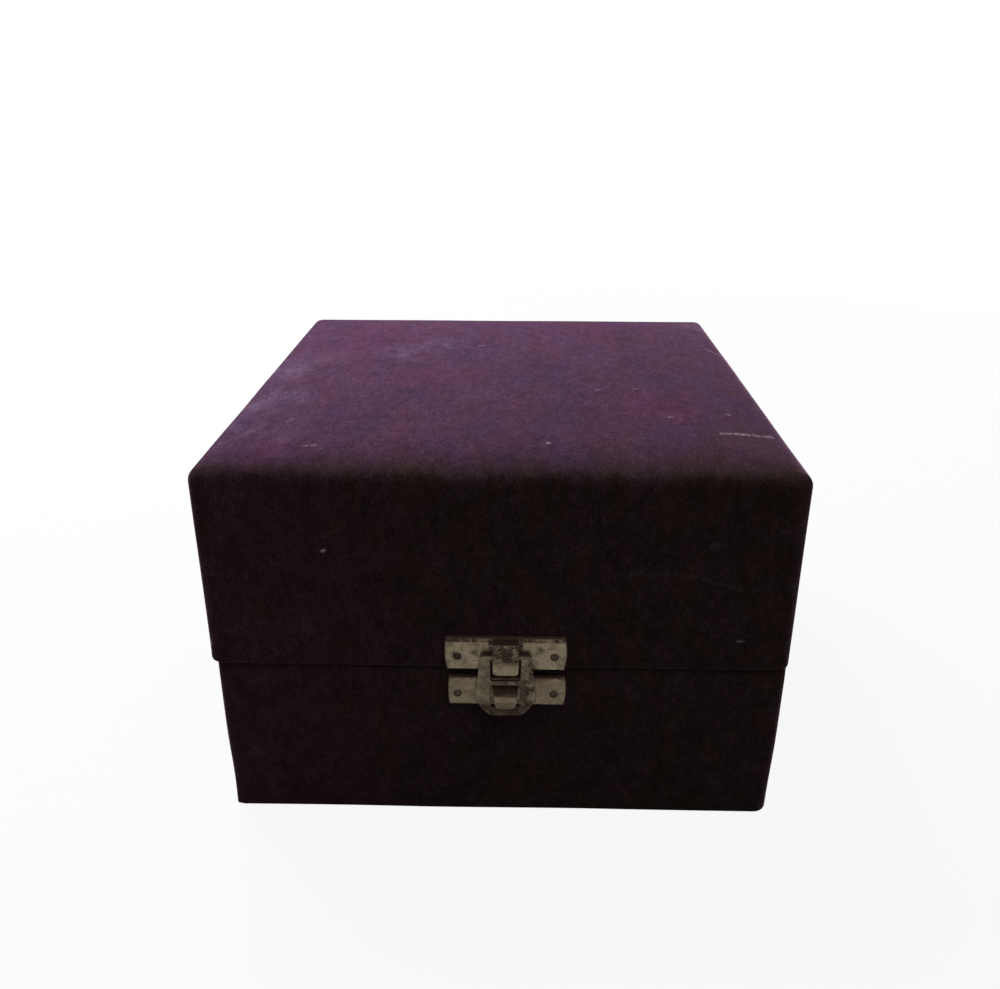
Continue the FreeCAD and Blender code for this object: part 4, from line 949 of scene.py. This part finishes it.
def white_floor(tree, place):
    """White paper sweep: plain white to the eye, with a faint shadow near the case, and grey to the light."""
    away = add(tree, "VectorMath", {0: place}, "Value", operation="LENGTH")
    shadow = add(tree, "MapRange", {"Value": away, "From Min": SHADOW_NEAR, "From Max": SHADOW_FAR,
                                    "To Min": SHADOW_SHARE, "To Max": 0.0})
    lit = add(tree, "BsdfDiffuse", {"Color": linear("#f4f4f4")})
    plain = add(tree, "Emission", {"Color": linear("#ffffff"), "Strength": 1.0})
    to_eye = add(tree, "MixShader", {0: shadow, 1: plain, 2: lit})
    to_light = add(tree, "BsdfDiffuse", {"Color": linear("#9a9a9a")})
    return add(tree, "MixShader", {0: seen_share(tree), 1: to_light, 2: to_eye})


def place_camera():
    """Camera at the fitted place, level enough to see the front and the top."""
    camera = bpy.data.objects.new("camera", bpy.data.cameras.new("camera"))
    scene.collection.objects.link(camera)
    scene.camera = camera
    camera.data.sensor_fit = "HORIZONTAL"
    camera.data.sensor_width = SENSOR_WIDTH
    camera.data.lens = FOCAL_PIXELS * SENSOR_WIDTH / PICTURE_WIDTH
    camera.data.clip_start = CLIP_START
    camera.matrix_world = (Matrix.Translation(CAMERA_PLACE) @ Matrix.Rotation(CAMERA_YAW, 4, "Z")
                           @ Matrix.Rotation(math.pi / 2 - CAMERA_PITCH, 4, "X")
                           @ Matrix.Rotation(CAMERA_ROLL, 4, "Z"))


def place_lamps():
    """Soft light from above, mostly from behind."""
    for name, place, size, power in LAMPS:
        lamp = bpy.data.objects.new(name, bpy.data.lights.new(name, "AREA"))
        lamp.data.size = size
        lamp.data.energy = power
        lamp.location = place
        lamp.rotation_euler = (LAMP_AIM - lamp.location).to_track_quat("-Z", "Y").to_euler()
        scene.collection.objects.link(lamp)


def white_surroundings():
    """Surroundings that are white to the eye and give a little light."""
    world = bpy.data.worlds.new("studio")
    scene.world = world
    world.use_nodes = True
    tree = world.node_tree
    tree.nodes.clear()
    shown = seen_share(tree)
    soft = add(tree, "Background", {"Color": linear("#ffffff"), "Strength": SURROUND_LIGHT})
    white = add(tree, "Background", {"Color": linear("#ffffff"), "Strength": 1.0})
    add(tree, "OutputWorld", {"Surface": add(tree, "MixShader", {0: shown, 1: soft, 2: white})})


def floor_sheet():
    """White sheet that the case stands on."""
    bm = bmesh.new()
    bmesh.ops.create_grid(bm, x_segments=1, y_segments=1, size=FLOOR_HALF)
    bmesh.ops.translate(bm, vec=(0, 0, -TOUCH), verts=bm.verts)
    mesh = bpy.data.meshes.new("floor")
    bm.to_mesh(mesh)
    bm.free()
    mesh.materials.append(material("white_floor", white_floor))
    floor = bpy.data.objects.new("floor", mesh)
    scene.collection.objects.link(floor)


place_camera()
place_lamps()
white_surroundings()
floor_sheet()
lid_velvet()
base_velvet()
lining_low, lining_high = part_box("lid_lining")
satin_lining("lid_satin", "lid_lining", "lid", lining_high.z, lining_low.z)
lining_low, lining_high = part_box("base_lining")
satin_lining("base_satin", "base_lining", "base", lining_low.z, lining_high.z)
lid_cushion()
tray_case()
recess_bed()
pull_low, pull_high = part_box("tray_pulls")
pull_ribbon("left_pull_ribbon", 1, pull_low.x)
pull_ribbon("right_pull_ribbon", -1, pull_high.x)
pressed_metal("latch_plate", "lid", Vector, plate_grime_and_shadow)
pressed_metal("keeper_plate", "base", keeper_bend, keeper_grime_and_shadow)
pressed_metal("latch_hasp", "hasp", hasp_bend, hasp_grime_and_shadow)
for node, body in (("latch_nails", "lid"), ("keeper_nails", "base")):
    worn_metal(node, nail_nickel, body)
for side in ("left", "right"):
    for leaf, body in (("base_leaf", "base"), ("lid_leaf", "lid"), ("pin", "base")):
        worn_metal(f"{side}_hinge_{leaf}", hinge_nickel, body)
for half in ("base", "lid"):
    worn_metal(f"{half}_hinge_nails", hinge_nickel, half)
for node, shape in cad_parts.items():
    if not shape.hide_render:
        shape.data.materials.clear()
        shape.data.materials.append(paper if node == "base_underside_sheet" else pine)
